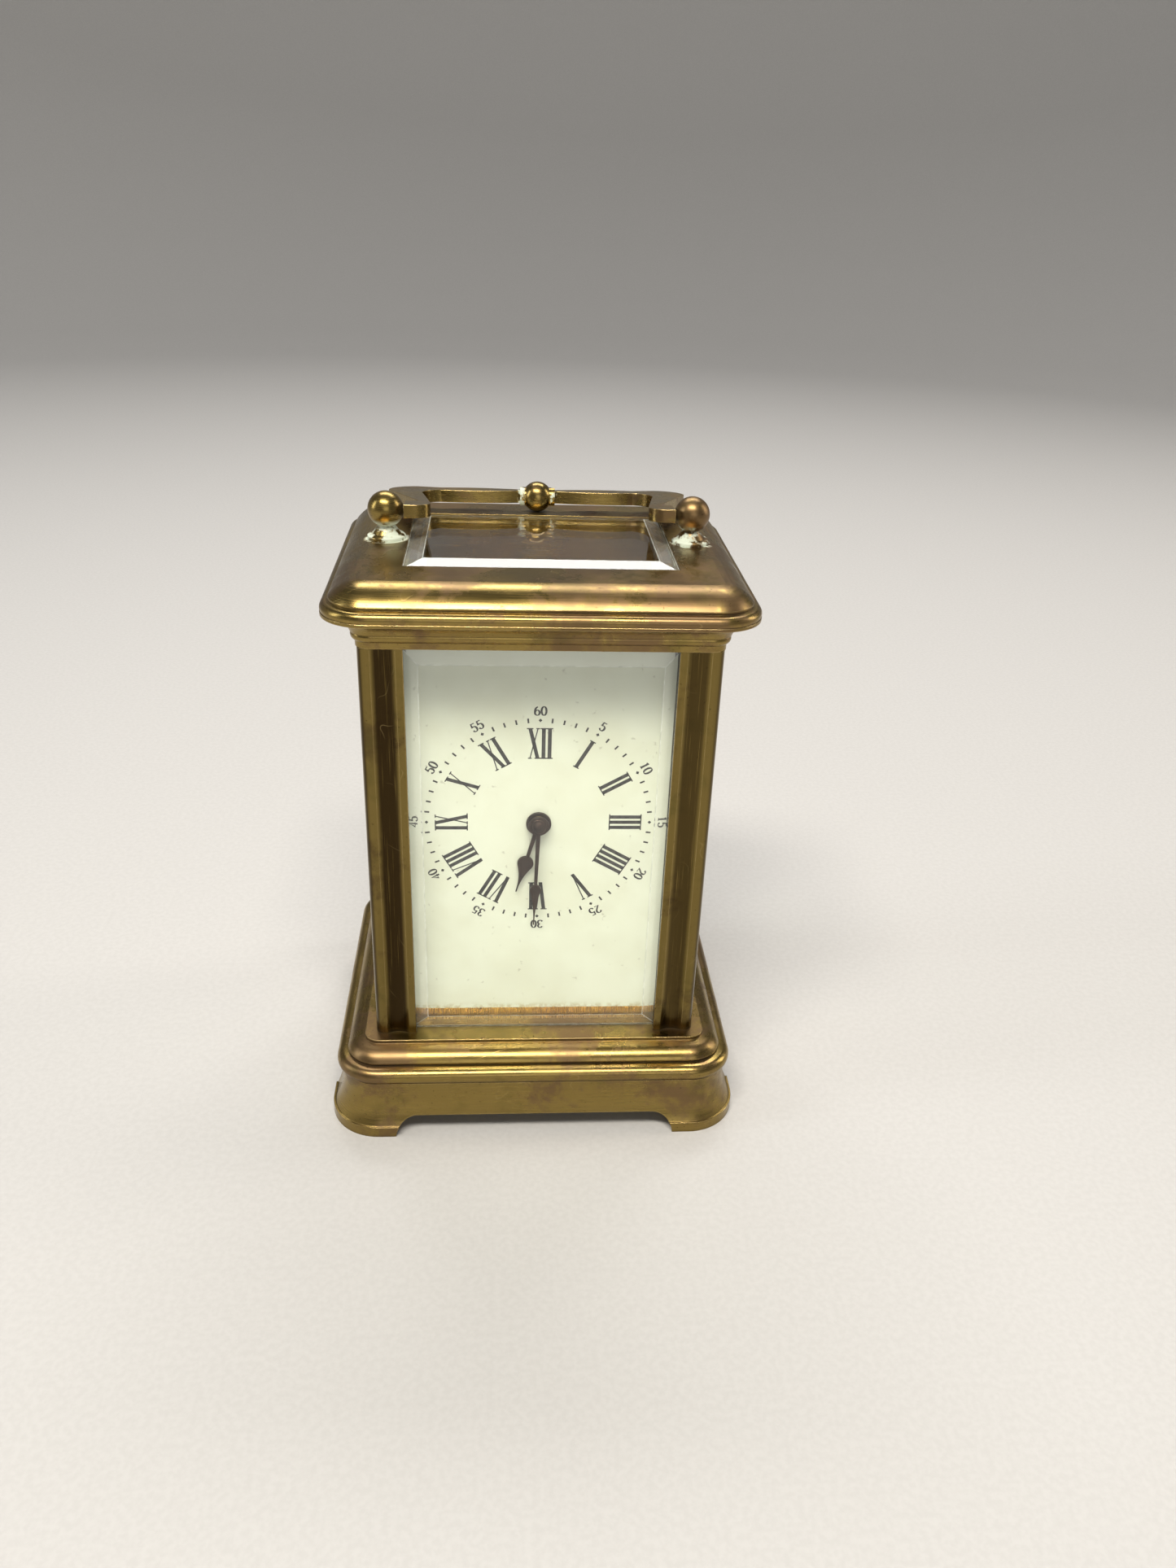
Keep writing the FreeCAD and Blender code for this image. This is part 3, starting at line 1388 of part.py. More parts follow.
def rod(steps):
    """Solid of coaxial steps about local Z from (radius, start height, end height) numbers."""
    cylinders = []
    for radius, start, end in steps:
        cylinders.append(Part.makeCylinder(radius, end - start, Vector(0, 0, start)))
    return cylinders[0].fuse(cylinders[1:]) if len(cylinders) > 1 else cylinders[0]


def make_pinion_arbor(label, x, z, pinion, pinion_y):
    """Arbor between the plates with its pinion cut in one piece with it."""
    low_shoulder = value("train_y + end_shake - arbor_front_y")
    high_shoulder = value("back_plate_y - end_shake - arbor_front_y")
    end = value("rear_y - pivot_end_gap - arbor_front_y")
    pivot = value("pivot_radius")
    shape = rod([
        (pivot, 0, low_shoulder),
        (value("arbor_radius"), low_shoulder, high_shoulder),
        (pivot, high_shoulder, end),
    ])
    lifted = moved(pinion, 0, 0, value("%s - arbor_front_y" % pinion_y))
    make_wheel(label, shape.fuse(lifted), x, "arbor_front_y", z)


def make_barrel():
    """Spring barrel with the great wheel, its cover and its mainspring."""
    wall = value("barrel_wall")
    length = value("barrel_length")
    radius = value("barrel_radius")
    bore = value("barrel_arbor_radius + running_fit")
    teeth = int(value("barrel_teeth"))
    great = gear_shape(teeth, value("barrel_module"), value("great_wheel_thickness"), bore,
                       facing(local_angle(0, 1), teeth, False))
    drum = moved(tube(radius, radius - wall, length), 0, 0, -length)
    make_wheel("barrel", great.fuse(drum), "0", "great_wheel_y", "barrel_z")
    make_wheel("barrel_cover", tube(radius - wall, bore, wall), "0", "barrel_y", "barrel_z")

    gap = value("spring_gap")
    spring = half_turn_spiral(value("barrel_hub_radius") + gap, radius - wall - gap,
                              int(value("spring_turns")), value("spring_strip"), length - wall - 2 * gap)
    make_wheel("mainspring", spring, "0", "barrel_y + barrel_wall + spring_gap", "barrel_z")


def make_winding():
    """Winding arbor through the barrel with its square at the back, and the ratchet wheel on it."""
    half = "square_width / 2"
    winding = turned("winding_arbor", stepped([
        ("barrel_arbor_radius", "barrel_y + barrel_wall + end_shake - front_plate_y"),
        ("barrel_hub_radius", "great_wheel_y - end_shake - front_plate_y"),
        ("barrel_arbor_radius", "click_y - front_plate_y"),
    ]))
    add_up(winding, "click_y - front_plate_y", "rear_y + winding_square_length - front_plate_y",
           rectangle, "-" + half, half, "-" + half, half)
    along_y(winding, "0", "front_plate_y", "barrel_z")

    teeth = int(value("ratchet_teeth"))
    tip = value("ratchet_radius")
    turn = facing(-value("click_angle"), teeth, True)
    wire = toothed_wire(teeth, tip - value("ratchet_tooth_height"), tip, RATCHET_ROOT_HALF,
                        RATCHET_TIP_HALF, turn, RATCHET_LEAN)
    ratchet = plate_of([wire, ring_wire(value("barrel_arbor_radius"))], value("ratchet_thickness"))
    make_wheel("ratchet_wheel", ratchet, "0", "ratchet_y", "barrel_z")


def click_outline(sketch):
    """Click about its screw: a broad eye and a tapering nose that ends over the ratchet's tips."""
    nose = "-(click_length - ratchet_radius - click_gap)"
    outline(sketch, [
        ("-click_half_width", "click_eye_rise"),
        ("-click_half_width", "-click_shoulder"),
        ("-click_nose_half", nose),
        ("click_nose_half", nose),
        ("click_half_width", "-click_shoulder"),
        ("click_half_width", "click_eye_rise"),
        ("click_tail_half", "click_tail"),
        ("-click_tail_half", "click_tail"),
    ])


def make_click():
    """Click on the back plate, its screw and the flat spring behind it."""
    click = new_body("click")
    add_up(click, "0", "ratchet_thickness", click_outline)
    cut_up(click, "-cut_over", "ratchet_thickness + cut_over", circle, "0", "0",
           "click_screw_radius + fit")
    place(click, "click_x", "click_y", "click_z")
    lean = FreeCAD.Rotation(Vector(0, 1, 0), 90 - value("click_angle"))
    turned_placement(click, lean.multiply(FreeCAD.Rotation(Vector(1, 0, 0), 90)))

    length = value("click_y + click_head_gap - back_plate_y - end_shake")
    screw = screw_shape(value("click_head_radius"), value("click_head_height"),
                        value("click_screw_radius"), length)
    shaped("click_screw", screw, "click_x", "click_y + click_head_gap", "click_z", Vector(1, 0, 0), "90")

    width = value("click_spring_width")
    strip = value("click_spring_strip")
    leaf = Part.makeBox(value("click_spring_length"), width, strip,
                        Vector(-value("click_spring_tail"), 0, -strip / 2))
    foot = Part.makeCylinder(value("click_spring_foot_radius"), width,
                             Vector(value("click_spring_foot"), 0, 0), Vector(0, 1, 0))
    outward = "(click_length + click_spring_offset)"
    shaped("click_spring", leaf.fuse(foot), outward + " * cos(click_angle)", "rear_y",
           "barrel_z + %s * sin(click_angle)" % outward, Vector(0, 1, 0), "90 - click_angle")


def make_centre_arbor():
    """Arbor that carries the minute hand's cannon and ends in the square that sets the hands."""
    width = value("square_width")
    start = value("rear_y + hand_square_gap - minute_hand_y")
    square = Part.makeBox(width, width, value("hand_square_length"),
                          Vector(-width / 2, -width / 2, start))
    arbor = rod([(value("arbor_radius"), 0, start + width)]).fuse(square)
    make_wheel("centre_arbor", arbor, "0", "minute_hand_y", "dial_centre_height")


def make_centre_wheel():
    """Centre wheel and its pinion on one pipe that grips the arbor, so the hands can be set."""
    bore = value("arbor_radius + fit")
    leaves = int(value("centre_leaves"))
    length = value("great_wheel_thickness + 2 * pinion_lap")
    pinion = pinion_shape(leaves, value("barrel_module"), length, bore,
                          facing(local_angle(0, -1), leaves, True))
    teeth = int(value("centre_teeth"))
    to_third = local_angle(value("third_x"), value("third_z - dial_centre_height"))
    wheel = gear_shape(teeth, value("centre_module"), value("wheel_thickness"), bore,
                       facing(to_third, teeth, False), TRAIN_SPOKES)
    step = value("centre_wheel_y - centre_pinion_y")
    pipe = tube(value("centre_pipe_radius"), bore, step + value("wheel_thickness + centre_pipe_end"))
    make_wheel("centre_wheel", pinion.fuse([pipe, moved(wheel, 0, 0, step)]), "0", "centre_pinion_y",
               "dial_centre_height")


def make_cannon():
    """Cannon pinion on the centre arbor, with the nose that carries the minute hand."""
    leaves = int(value("cannon_leaves"))
    to_minute = local_angle(value("motion_x"), value("motion_z - dial_centre_height"))
    module = value("2 * motion_distance / (cannon_leaves + minute_wheel_teeth)")
    bore = value("arbor_radius")
    pinion = pinion_shape(leaves, module, value("cannon_pinion_length"), bore,
                          facing(to_minute, leaves, True))
    shoulder = value("hour_hand_y - minute_hand_y + cannon_proud")
    gear_y = "front_plate_y - cannon_pinion_gap - cannon_pinion_length"
    gear_start = value(gear_y + " - minute_hand_y + cannon_proud")
    pipe = rod([
        (value("cannon_nose_radius"), 0, shoulder),
        (value("cannon_radius"), shoulder, gear_start),
    ]).cut(Part.makeCylinder(bore, gear_start))
    make_wheel("cannon_pinion", pipe.fuse(moved(pinion, 0, 0, gear_start)), "0",
               "minute_hand_y - cannon_proud", "dial_centre_height")


def make_third():
    """Third wheel on its arbor, driven by the centre wheel."""
    leaves = int(value("third_leaves"))
    teeth = int(value("third_teeth"))
    bore = value("arbor_radius")
    to_centre = local_angle(-value("third_x"), -value("third_z - dial_centre_height"))
    to_fourth = local_angle(value("fourth_x - third_x"), value("fourth_z - third_z"))
    pinion = pinion_shape(leaves, value("centre_module"), value("pinion_length"), bore,
                          facing(to_centre, leaves, True))
    make_pinion_arbor("third_arbor", "third_x", "third_z", pinion, "centre_wheel_y - pinion_lap")
    wheel = gear_shape(teeth, value("third_module"), value("wheel_thickness"), bore,
                       facing(to_fourth, teeth, False), TRAIN_SPOKES)
    make_wheel("third_wheel", wheel, "third_x", "third_wheel_y", "third_z")


def make_fourth():
    """Fourth arbor, driven by the third wheel, with the contrate wheel on it."""
    leaves = int(value("fourth_leaves"))
    to_third = local_angle(value("third_x - fourth_x"), value("third_z - fourth_z"))
    pinion = pinion_shape(leaves, value("third_module"), value("pinion_length"), value("arbor_radius"),
                          facing(to_third, leaves, True))
    make_pinion_arbor("fourth_arbor", "fourth_x", "fourth_z", pinion, "third_wheel_y - pinion_lap")
    make_wheel("contrate_wheel", contrate_shape(), "fourth_x", "contrate_y", "fourth_z")


def contrate_shape():
    """Crown wheel whose teeth stand along its axis and turn the upright escape pinion."""
    radius = value("contrate_radius")
    bore = value("arbor_radius")
    teeth = int(value("contrate_teeth"))
    thick = value("wheel_thickness")
    outer = radius + value("contrate_rim_out")
    inner = radius - value("contrate_rim_in")
    wheel = wheel_shape(ring_wire(outer), bore, thick, bore + value("hub_wall"), inner,
                        SMALL_WHEEL_SPOKES)
    foot = TAU / teeth * radius * CROWN_ROOT_HALF
    tip = TAU / teeth * radius * CROWN_TIP_HALF
    top = thick + value("contrate_tooth_height")
    face = radius + value("contrate_rim_out - contrate_tooth_length - fit")
    low = thick / 2
    ends = [(-foot, low), (foot, low), (tip, top), (-tip, top), (-foot, low)]
    profile = Part.Face(Part.makePolygon([Vector(face, y, z) for y, z in ends]))
    tooth = profile.extrude(Vector(value("contrate_tooth_length"), 0, 0))
    cogs = [moved(tooth, 0, 0, 0, UP, 360.0 * cog / teeth - 90) for cog in range(teeth)]
    return wheel.fuse(cogs)


# --- motion work ---------------------------------------------------------------------------------------

def make_motion_work():
    """Minute wheel with its pinion on a stud, and the hour wheel with the pipe of the hour hand."""
    first = value("2 * motion_distance / (cannon_leaves + minute_wheel_teeth)")
    second = value("2 * motion_distance / (minute_leaves + hour_wheel_teeth)")
    out = local_angle(value("motion_x"), value("motion_z - dial_centre_height"))
    back = local_angle(-value("motion_x"), -value("motion_z - dial_centre_height"))

    stud_steps = [("pivot_radius", "plate_thickness + motion_gap - stud_gap")]
    stud = turned("minute_wheel_stud", stepped(stud_steps))
    along_y(stud, "motion_x", "motion_y + stud_gap", "motion_z")

    teeth = int(value("minute_wheel_teeth"))
    leaves = int(value("minute_leaves"))
    bore = value("pivot_radius + fit")
    wheel = gear_shape(teeth, first, value("minute_wheel_thickness"), bore,
                       facing(back, teeth, False))
    pinion = pinion_shape(leaves, second, value("minute_pinion_length"), bore,
                          facing(back, leaves, False))
    lowered = moved(pinion, 0, 0, value("motion_lap - minute_pinion_length"))
    make_wheel("minute_wheel", wheel.fuse(lowered), "motion_x", "minute_wheel_y", "motion_z")

    teeth = int(value("hour_wheel_teeth"))
    bore = value("cannon_radius + running_fit")
    thick = value("hour_wheel_thickness")
    wheel = gear_shape(teeth, second, thick, bore, facing(out, teeth, True))
    length = value("hour_wheel_y + hour_wheel_thickness - hour_hand_y")
    pipe = moved(tube(value("hour_pipe_radius"), bore, length), 0, 0, thick - length)
    make_wheel("hour_wheel", wheel.fuse(pipe), "0", "hour_wheel_y", "dial_centre_height")


# --- platform escapement --------------------------------------------------------------------------------

def make_platform():
    """Platform on the plates' top edges, with the screws that hold it."""
    platform = new_body("platform")
    add_up(platform, "plate_top", "platform_top", rectangle, "-platform_length / 2",
           "platform_length / 2", "front_plate_y", "rear_y")
    above = "platform_top + cut_over"
    cut_up(platform, "plate_top - cut_over", above, circle, "fourth_x", "escape_y",
           "escape_pitch + escape_hole_gap")
    cut_up(platform, "staff_foot_z - hole_spare", above, circle, "0", "balance_y",
           "fine_pivot_radius + fit")
    places = [(x, y) for x in ("-platform_screw_x", "platform_screw_x")
              for y in ("front_seat_y", "rear_seat_y")]
    for x, y in places:
        cut_up(platform, "plate_top - cut_over", above, circle, x, y, "platform_screw_radius + fit")

    screw = screw_shape(value("platform_head_radius"), value("platform_head_height"),
                        value("platform_screw_radius"), value("platform_thickness + platform_screw_bite"))
    screws = []
    for x, y in places:
        screws.append(moved(screw, value(x), value(y), value("platform_top"), Vector(1, 0, 0), 180))
    group("platform_screws", screws)


def make_balance_cock():
    """Cock that reaches from the back of the platform over the balance."""
    half = "cock_width / 2"
    edge = "rear_y - cock_set_in"
    cock = new_body("balance_cock")
    add_up(cock, "platform_top", "cock_low", rectangle, "-(%s)" % half, half,
           edge + " - cock_foot_length", edge)
    add_up(cock, "cock_low", "cock_top", rectangle, "-(%s)" % half, half, "balance_y", edge)
    add_up(cock, "cock_low", "cock_top", circle, "0", "balance_y", half)
    cut_up(cock, "cock_low - cut_over", "cock_top + cut_over", circle, "0", "balance_y",
           "fine_pivot_radius + fit")


def make_escape_bridge():
    """Bridge beside the escape wheel that holds its upper pivot."""
    bridge = new_body("escape_bridge")
    foot = "fourth_x - escape_radius - bridge_foot_gap"
    add_up(bridge, "platform_top", "bridge_low", rectangle, foot + " - bridge_foot_length", foot,
           "escape_y - bridge_foot_half", "escape_y + bridge_foot_half")
    add_up(bridge, "bridge_low", "bridge_top", rectangle, foot + " - bridge_foot_length",
           "fourth_x + bridge_arm_half", "escape_y - bridge_arm_half", "escape_y + bridge_arm_half")
    cut_up(bridge, "bridge_low - cut_over", "bridge_top + cut_over", circle, "fourth_x", "escape_y",
           "fine_pivot_radius + fit")


def make_potence():
    """Bracket under the platform that holds the escape arbor's lower pivot."""
    potence = new_body("lower_potence")
    left = "fourth_x - potence_half"
    right = "fourth_x + potence_half"
    rear = "escape_y + potence_reach"
    add_up(potence, "potence_z", "potence_z + potence_thickness", rectangle, left, right,
           "escape_y - potence_front", rear)
    add_up(potence, "potence_z", "plate_top", rectangle, left, right, rear + " - potence_stem", rear)
    cut_up(potence, "potence_z + potence_floor", "potence_z + potence_thickness + cut_over", circle,
           "fourth_x", "escape_y", "lower_pivot_radius + fit")


def make_escape():
    """Escape wheel above the platform on an upright arbor whose pinion meets the contrate wheel."""
    stem = value("escape_stem_radius")
    foot_end = value("potence_z + potence_thickness + staff_shake - escape_foot_z")
    shoulder = value("bridge_low - end_shake - escape_foot_z")
    arbor = rod([
        (value("lower_pivot_radius"), 0, foot_end),
        (stem, foot_end, shoulder),
        (value("fine_pivot_radius"), shoulder, value("bridge_top - staff_shake - escape_foot_z")),
    ])
    leaves = int(value("escape_leaves"))
    radius = value("escape_pitch")
    wire = toothed_wire(leaves, radius - value("escape_leaf_root"), radius + value("escape_leaf_tip"),
                        ESCAPE_LEAF_ROOT_HALF, ESCAPE_LEAF_TIP_HALF, facing(-90, leaves, True))
    pinion = plate_of([wire, ring_wire(stem)], value("escape_pinion_length"))
    low = value("fourth_z + contrate_radius - escape_pinion_drop - escape_foot_z")
    shaped("escape_arbor", arbor.fuse(moved(pinion, 0, 0, low)), "fourth_x", "escape_y", "escape_foot_z")

    teeth = int(value("escape_teeth"))
    tip = value("escape_radius")
    root = tip - value("escape_tooth_height")
    aim = math.degrees(math.atan2(value("balance_y - escape_y"), -value("fourth_x")))
    wire = toothed_wire(teeth, root, tip, ESCAPE_ROOT_HALF, ESCAPE_TIP_HALF, facing(aim, teeth, True),
                        ESCAPE_LEAN)
    wheel = wheel_shape(wire, stem, value("escape_wheel_thickness"), value("escape_hub_radius"),
                        root - value("escape_rim"), SMALL_WHEEL_SPOKES)
    shaped("escape_wheel", wheel, "fourth_x", "escape_y", "platform_top + escape_lift")


def make_balance():
    """Balance wheel and hairspring on a cylinder staff."""
    staff = turned("balance_staff", stepped([
        ("fine_pivot_radius", "staff_pivot_depth + staff_shake"),
        ("cylinder_radius", "balance_z + balance_thickness + balance_seat - staff_foot_z"),
        ("collet_radius", "cock_low - end_shake - staff_foot_z"),
        ("fine_pivot_radius", "cock_top - staff_shake - staff_foot_z"),
    ]))
    place(staff, "0", "balance_y", "staff_foot_z")

    radius = value("balance_radius")
    bore = value("cylinder_radius")
    wheel = wheel_shape(ring_wire(radius), bore, value("balance_thickness"), bore + value("hub_wall"),
                        radius - value("balance_rim"), SMALL_WHEEL_SPOKES)
    shaped("balance_wheel", wheel, "0", "balance_y", "balance_z")

    coil = half_turn_spiral(value("collet_radius"), value("hairspring_radius"),
                            int(value("hairspring_turns")), value("hairspring_strip"),
                            value("hairspring_height"))
    shaped("hairspring", coil, "0", "balance_y", "hairspring_z")


def make_jewels_and_regulator():
    """End stones over the two upper pivots and the index that regulates the balance."""
    jewel = Part.makeCylinder(value("jewel_radius"), value("jewel_thickness"))
    group("jewels", [
        moved(jewel, 0, value("balance_y"), value("cock_top")),
        moved(jewel, value("fourth_x"), value("escape_y"), value("bridge_top")),
    ])
    thick = value("regulator_thickness")
    width = value("regulator_width")
    disc = Part.makeCylinder(value("regulator_radius"), thick)
    arm = Part.makeBox(width, value("regulator_length"), thick, Vector(-width / 2, 0, 0))
    index = disc.fuse(arm).cut(Part.makeCylinder(value("jewel_radius + regulator_gap"), thick))
    shaped("regulator", index, "0", "balance_y", "cock_top + regulator_gap")


def check_model():
    """Stop if any object failed or any sub-part has no sound shape."""
    for item in DOC.Objects:
        if "Invalid" in item.State or "Error" in item.State:
            raise RuntimeError("%s: %s" % (item.Name, item.getStatusString()))
        if item.TypeId == "PartDesign::Pocket" and item.Shape.Volume >= item.BaseFeature.Shape.Volume:
            raise RuntimeError("%s cuts nothing" % item.Name)
    for part in SUB_PARTS:
        if part.Shape.isNull() or not part.Shape.isValid() or part.Shape.Volume <= 0:
            raise RuntimeError("%s has no sound shape" % part.Label)


def write_parts():
    """Write each sub-part to its own STEP file."""
    os.makedirs("parts", exist_ok=True)
    for part in SUB_PARTS:
        part.Shape.exportStep("parts/%s.step" % part.Label)
        box = part.Shape.BoundBox
        print("%-22s solids %d volume %9.2f  z %.2f to %.2f" % (
            part.Label, len(part.Shape.Solids), part.Shape.Volume, box.ZMin, box.ZMax))


fill_sheet()
make_base()
make_top()
make_pillars()
make_glasses()
make_case_screws()
make_posts()
make_bail()
make_handle_ball()
make_handle_pins()
make_door_frame()
make_door_glass()
make_door_pins()
make_door_knob()
make_dial()
make_hands()
make_plates()
make_barrel()
make_winding()
make_click()
make_centre_arbor()
make_centre_wheel()
make_cannon()
make_third()
make_fourth()
make_motion_work()
make_platform()
make_balance_cock()
make_escape_bridge()
make_potence()
make_escape()
make_balance()
make_jewels_and_regulator()
DOC.recompute()
check_model()
write_parts()
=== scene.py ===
import math

import bmesh
import bpy
from mathutils import Matrix, Vector


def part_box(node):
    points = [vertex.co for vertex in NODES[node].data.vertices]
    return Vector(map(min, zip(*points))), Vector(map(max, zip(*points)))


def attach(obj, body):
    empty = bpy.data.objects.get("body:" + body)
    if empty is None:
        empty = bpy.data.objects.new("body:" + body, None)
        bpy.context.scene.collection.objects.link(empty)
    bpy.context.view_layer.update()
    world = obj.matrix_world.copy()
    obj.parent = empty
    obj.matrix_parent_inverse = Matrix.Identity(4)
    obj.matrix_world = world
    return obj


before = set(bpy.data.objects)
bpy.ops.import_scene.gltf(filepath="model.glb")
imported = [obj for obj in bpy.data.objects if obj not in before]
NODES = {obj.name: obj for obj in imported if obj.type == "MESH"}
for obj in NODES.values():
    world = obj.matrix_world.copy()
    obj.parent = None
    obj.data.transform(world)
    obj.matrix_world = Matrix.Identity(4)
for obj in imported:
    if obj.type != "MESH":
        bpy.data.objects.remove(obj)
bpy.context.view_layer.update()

# Looks, light and camera for the brass carriage clock. Metres, +Z up, the dial faces -Y.

MM = 0.001

# Places taken from the frame.
DIAL_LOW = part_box("dial")[0]
ARBOR_LOW, ARBOR_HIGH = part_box("centre_arbor")
DIAL_CENTRE = (ARBOR_LOW + ARBOR_HIGH) / 2
DIAL_CENTRE.y = DIAL_LOW.y
POST_LOW, POST_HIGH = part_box("post_right")
POST_X = (POST_LOW.x + POST_HIGH.x) / 2
BALL_LOW, BALL_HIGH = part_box("handle_ball")
MINUTE_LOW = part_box("minute_hand")[0]
PILLAR_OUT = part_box("pillar_back_right")[1]


# --- shader building ------------------------------------------------------------------------------

EDGE_SAMPLES = 4


class Shader:
    """Node tree of one material, with short calls for the nodes used below."""

    def __init__(self, name):
        self.material = bpy.data.materials.new(name)
        self.material.use_nodes = True
        self.tree = self.material.node_tree
        self.tree.nodes.clear()
        self.place = self.tree.nodes.new("ShaderNodeTexCoord").outputs["Object"]

    def feed(self, socket, source):
        """Link an output to an input, or set the input's own number or colour."""
        if isinstance(source, bpy.types.NodeSocket):
            self.tree.links.new(source, socket)
        else:
            socket.default_value = source

    def node(self, kind, inputs, **settings):
        """New node with its settings and inputs."""
        made = self.tree.nodes.new(kind)
        for key, setting in settings.items():
            setattr(made, key, setting)
        for key, source in inputs.items():
            self.feed(made.inputs[key], source)
        return made

    def scaled(self, factors):
        """Object coordinates stretched by one factor an axis."""
        stretched = self.node("ShaderNodeVectorMath", {0: self.place, 1: factors}, operation="MULTIPLY")
        return stretched.outputs[0]

    def noise(self, scale, detail=3.0, roughness=0.55, distortion=0.0, where=None):
        """Noise value, with scale in lumps per metre."""
        made = self.node("ShaderNodeTexNoise", {
            "Vector": where or self.place, "Scale": scale, "Detail": detail,
            "Roughness": roughness, "Distortion": distortion})
        return made.outputs["Fac"]

    def spread(self, source, low, high, out_low=0.0, out_high=1.0):
        """Smooth step of a value from low..high to out_low..out_high."""
        made = self.node("ShaderNodeMapRange", {
            "Value": source, "From Min": low, "From Max": high, "To Min": out_low, "To Max": out_high,
        }, interpolation_type="SMOOTHSTEP")
        return made.outputs["Result"]

    def math(self, operation, first, second=0.0):
        """Arithmetic on one or two values."""
        return self.node("ShaderNodeMath", {0: first, 1: second}, operation=operation).outputs[0]

    def plus(self, first, second):
        """Sum."""
        return self.math("ADD", first, second)

    def minus(self, first, second):
        """Difference."""
        return self.math("SUBTRACT", first, second)

    def times(self, first, second):
        """Product."""
        return self.math("MULTIPLY", first, second)

    def larger(self, first, second):
        """The larger of two values."""
        return self.math("MAXIMUM", first, second)

    def unsigned(self, value):
        """A value without its sign."""
        return self.math("ABSOLUTE", value)

    def blend(self, share, first, second):
        """Mix of two colours."""
        made = self.tree.nodes.new("ShaderNodeMix")
        made.data_type = "RGBA"
        for index, source in ((0, share), (6, first), (7, second)):
            self.feed(made.inputs[index], source)
        return made.outputs[2]

    def axis(self, letter):
        """One object coordinate."""
        return self.parts(self.place)[letter]

    def parts(self, vector):
        """Outputs X, Y and Z of a vector."""
        return self.node("ShaderNodeSeparateXYZ", {0: vector}).outputs

    def near(self, centre, reach, soft, where=None):
        """1 inside a ball of radius reach, fading to 0 over soft."""
        gap = self.node("ShaderNodeVectorMath", {0: where or self.place, 1: centre}, operation="DISTANCE")
        return self.spread(gap.outputs["Value"], reach, reach + soft, 1.0, 0.0)

    def face_normal(self):
        """Normal of the face, in world directions."""
        return self.tree.nodes.new("ShaderNodeNewGeometry").outputs["Normal"]

    def rounded_normal(self, radius):
        """Normal with the edges rounded over a radius."""
        return self.node("ShaderNodeBevel", {"Radius": radius}, samples=EDGE_SAMPLES).outputs[0]

    def agreement(self, first, second):
        """Dot product of two directions."""
        made = self.node("ShaderNodeVectorMath", {0: first, 1: second}, operation="DOT_PRODUCT")
        return made.outputs["Value"]

    def hairlines(self, thickness, *noise_settings):
        """1 along the thin winding lines where a noise passes its middle."""
        height = self.unsigned(self.minus(self.noise(*noise_settings), 0.5))
        return self.spread(height, 0.0, thickness, 1.0, 0.0)

    def bump(self, height, distance, strength=1.0, normal=None):
        """Bump normal of a height value."""
        inputs = {"Height": height, "Distance": distance, "Strength": strength}
        if normal is not None:
            inputs["Normal"] = normal
        return self.node("ShaderNodeBump", inputs).outputs[0]

    def principled(self, **inputs):
        """Principled shader whose keyword names are its socket names with underscores."""
        named = {key.replace("_", " "): source for key, source in inputs.items()}
        return self.node("ShaderNodeBsdfPrincipled", named)

    def finish(self, shader):
        """Send the shader to the surface and return the material."""
        output = self.tree.nodes.new("ShaderNodeOutputMaterial")
        self.tree.links.new(shader.outputs[0], output.inputs["Surface"])
        return self.material


def colour(red, green, blue):
    """Opaque linear colour."""
    return (red, green, blue, 1.0)


# --- materials ------------------------------------------------------------------------------------

GOLD = colour(0.285, 0.200, 0.062)
WORN = colour(0.74, 0.56, 0.25)
BROWN = colour(0.205, 0.130, 0.062)
OLIVE = colour(0.110, 0.090, 0.026)
# Near-black of pin specks, and of dark deposits with painted shade in closed-in corners.
GRIME_AND_SHADE = colour(0.030, 0.020, 0.007)
CRUST = colour(0.60, 0.66, 0.55)
# Pillar brass: a darker copy of the case brass, painted shade for the dark surroundings the pillars
# reflect.
PILLAR_SHADED_GOLD = colour(0.190, 0.135, 0.042)
PILLAR_SHADED_TARNISH = colour(0.110, 0.072, 0.027)
# Painted shade in the flutes.
FLUTE_PAINTED_SHADE = colour(0.030, 0.018, 0.007)
BRIGHT_BRASS = colour(0.78, 0.56, 0.21)
DULL_BRASS = colour(0.62, 0.43, 0.17)
BARE_STEEL = colour(0.55, 0.50, 0.44)
CREAM = colour(0.73, 0.75, 0.63)
YELLOWED_CREAM = colour(0.68, 0.69, 0.56)
GLASS_TINT = colour(0.965, 0.985, 0.970)
GROUND_GLASS = colour(0.80, 0.84, 0.78)
GLASS_SHADE = colour(0.93, 0.95, 0.93)
BEVEL_HAZE = 0.13

# Widths of rounded edges, reach of the dark deposits and painted shade in corners, depths of unevenness.
CASE_EDGE = 0.22 * MM
MOVEMENT_EDGE = 0.08 * MM
STEEL_EDGE = 0.06 * MM
GLASS_EDGE = 0.26 * MM
MOVEMENT_CAVITY = 0.8 * MM
DENT_DEPTH = 0.07 * MM
RELIEF_DEPTH = 0.030 * MM
POST_NECK = 6.4 * MM
FLUTE_DEEP = 0.45 * MM
FLUTE_SHALLOW = 0.04 * MM


def edge_masks(shader, radius, cavity):
    """Softened normal, share of worn outer edge and share of dark deposits with painted shade in closed-in
    inner corners.
    """
    soft = shader.rounded_normal(radius)
    occlusion = shader.node("ShaderNodeAmbientOcclusion", {"Distance": cavity}, samples=EDGE_SAMPLES)
    open_air = occlusion.outputs["AO"]
    turned = shader.spread(shader.agreement(soft, shader.face_normal()), 0.995, 0.86)
    worn = shader.times(turned, shader.spread(open_air, 0.70, 0.92))
    # Painted shade with dark deposits: darker the more closed-in the corner.
    grime_and_shade = shader.spread(open_air, 0.72, 0.30)
    return soft, worn, grime_and_shade


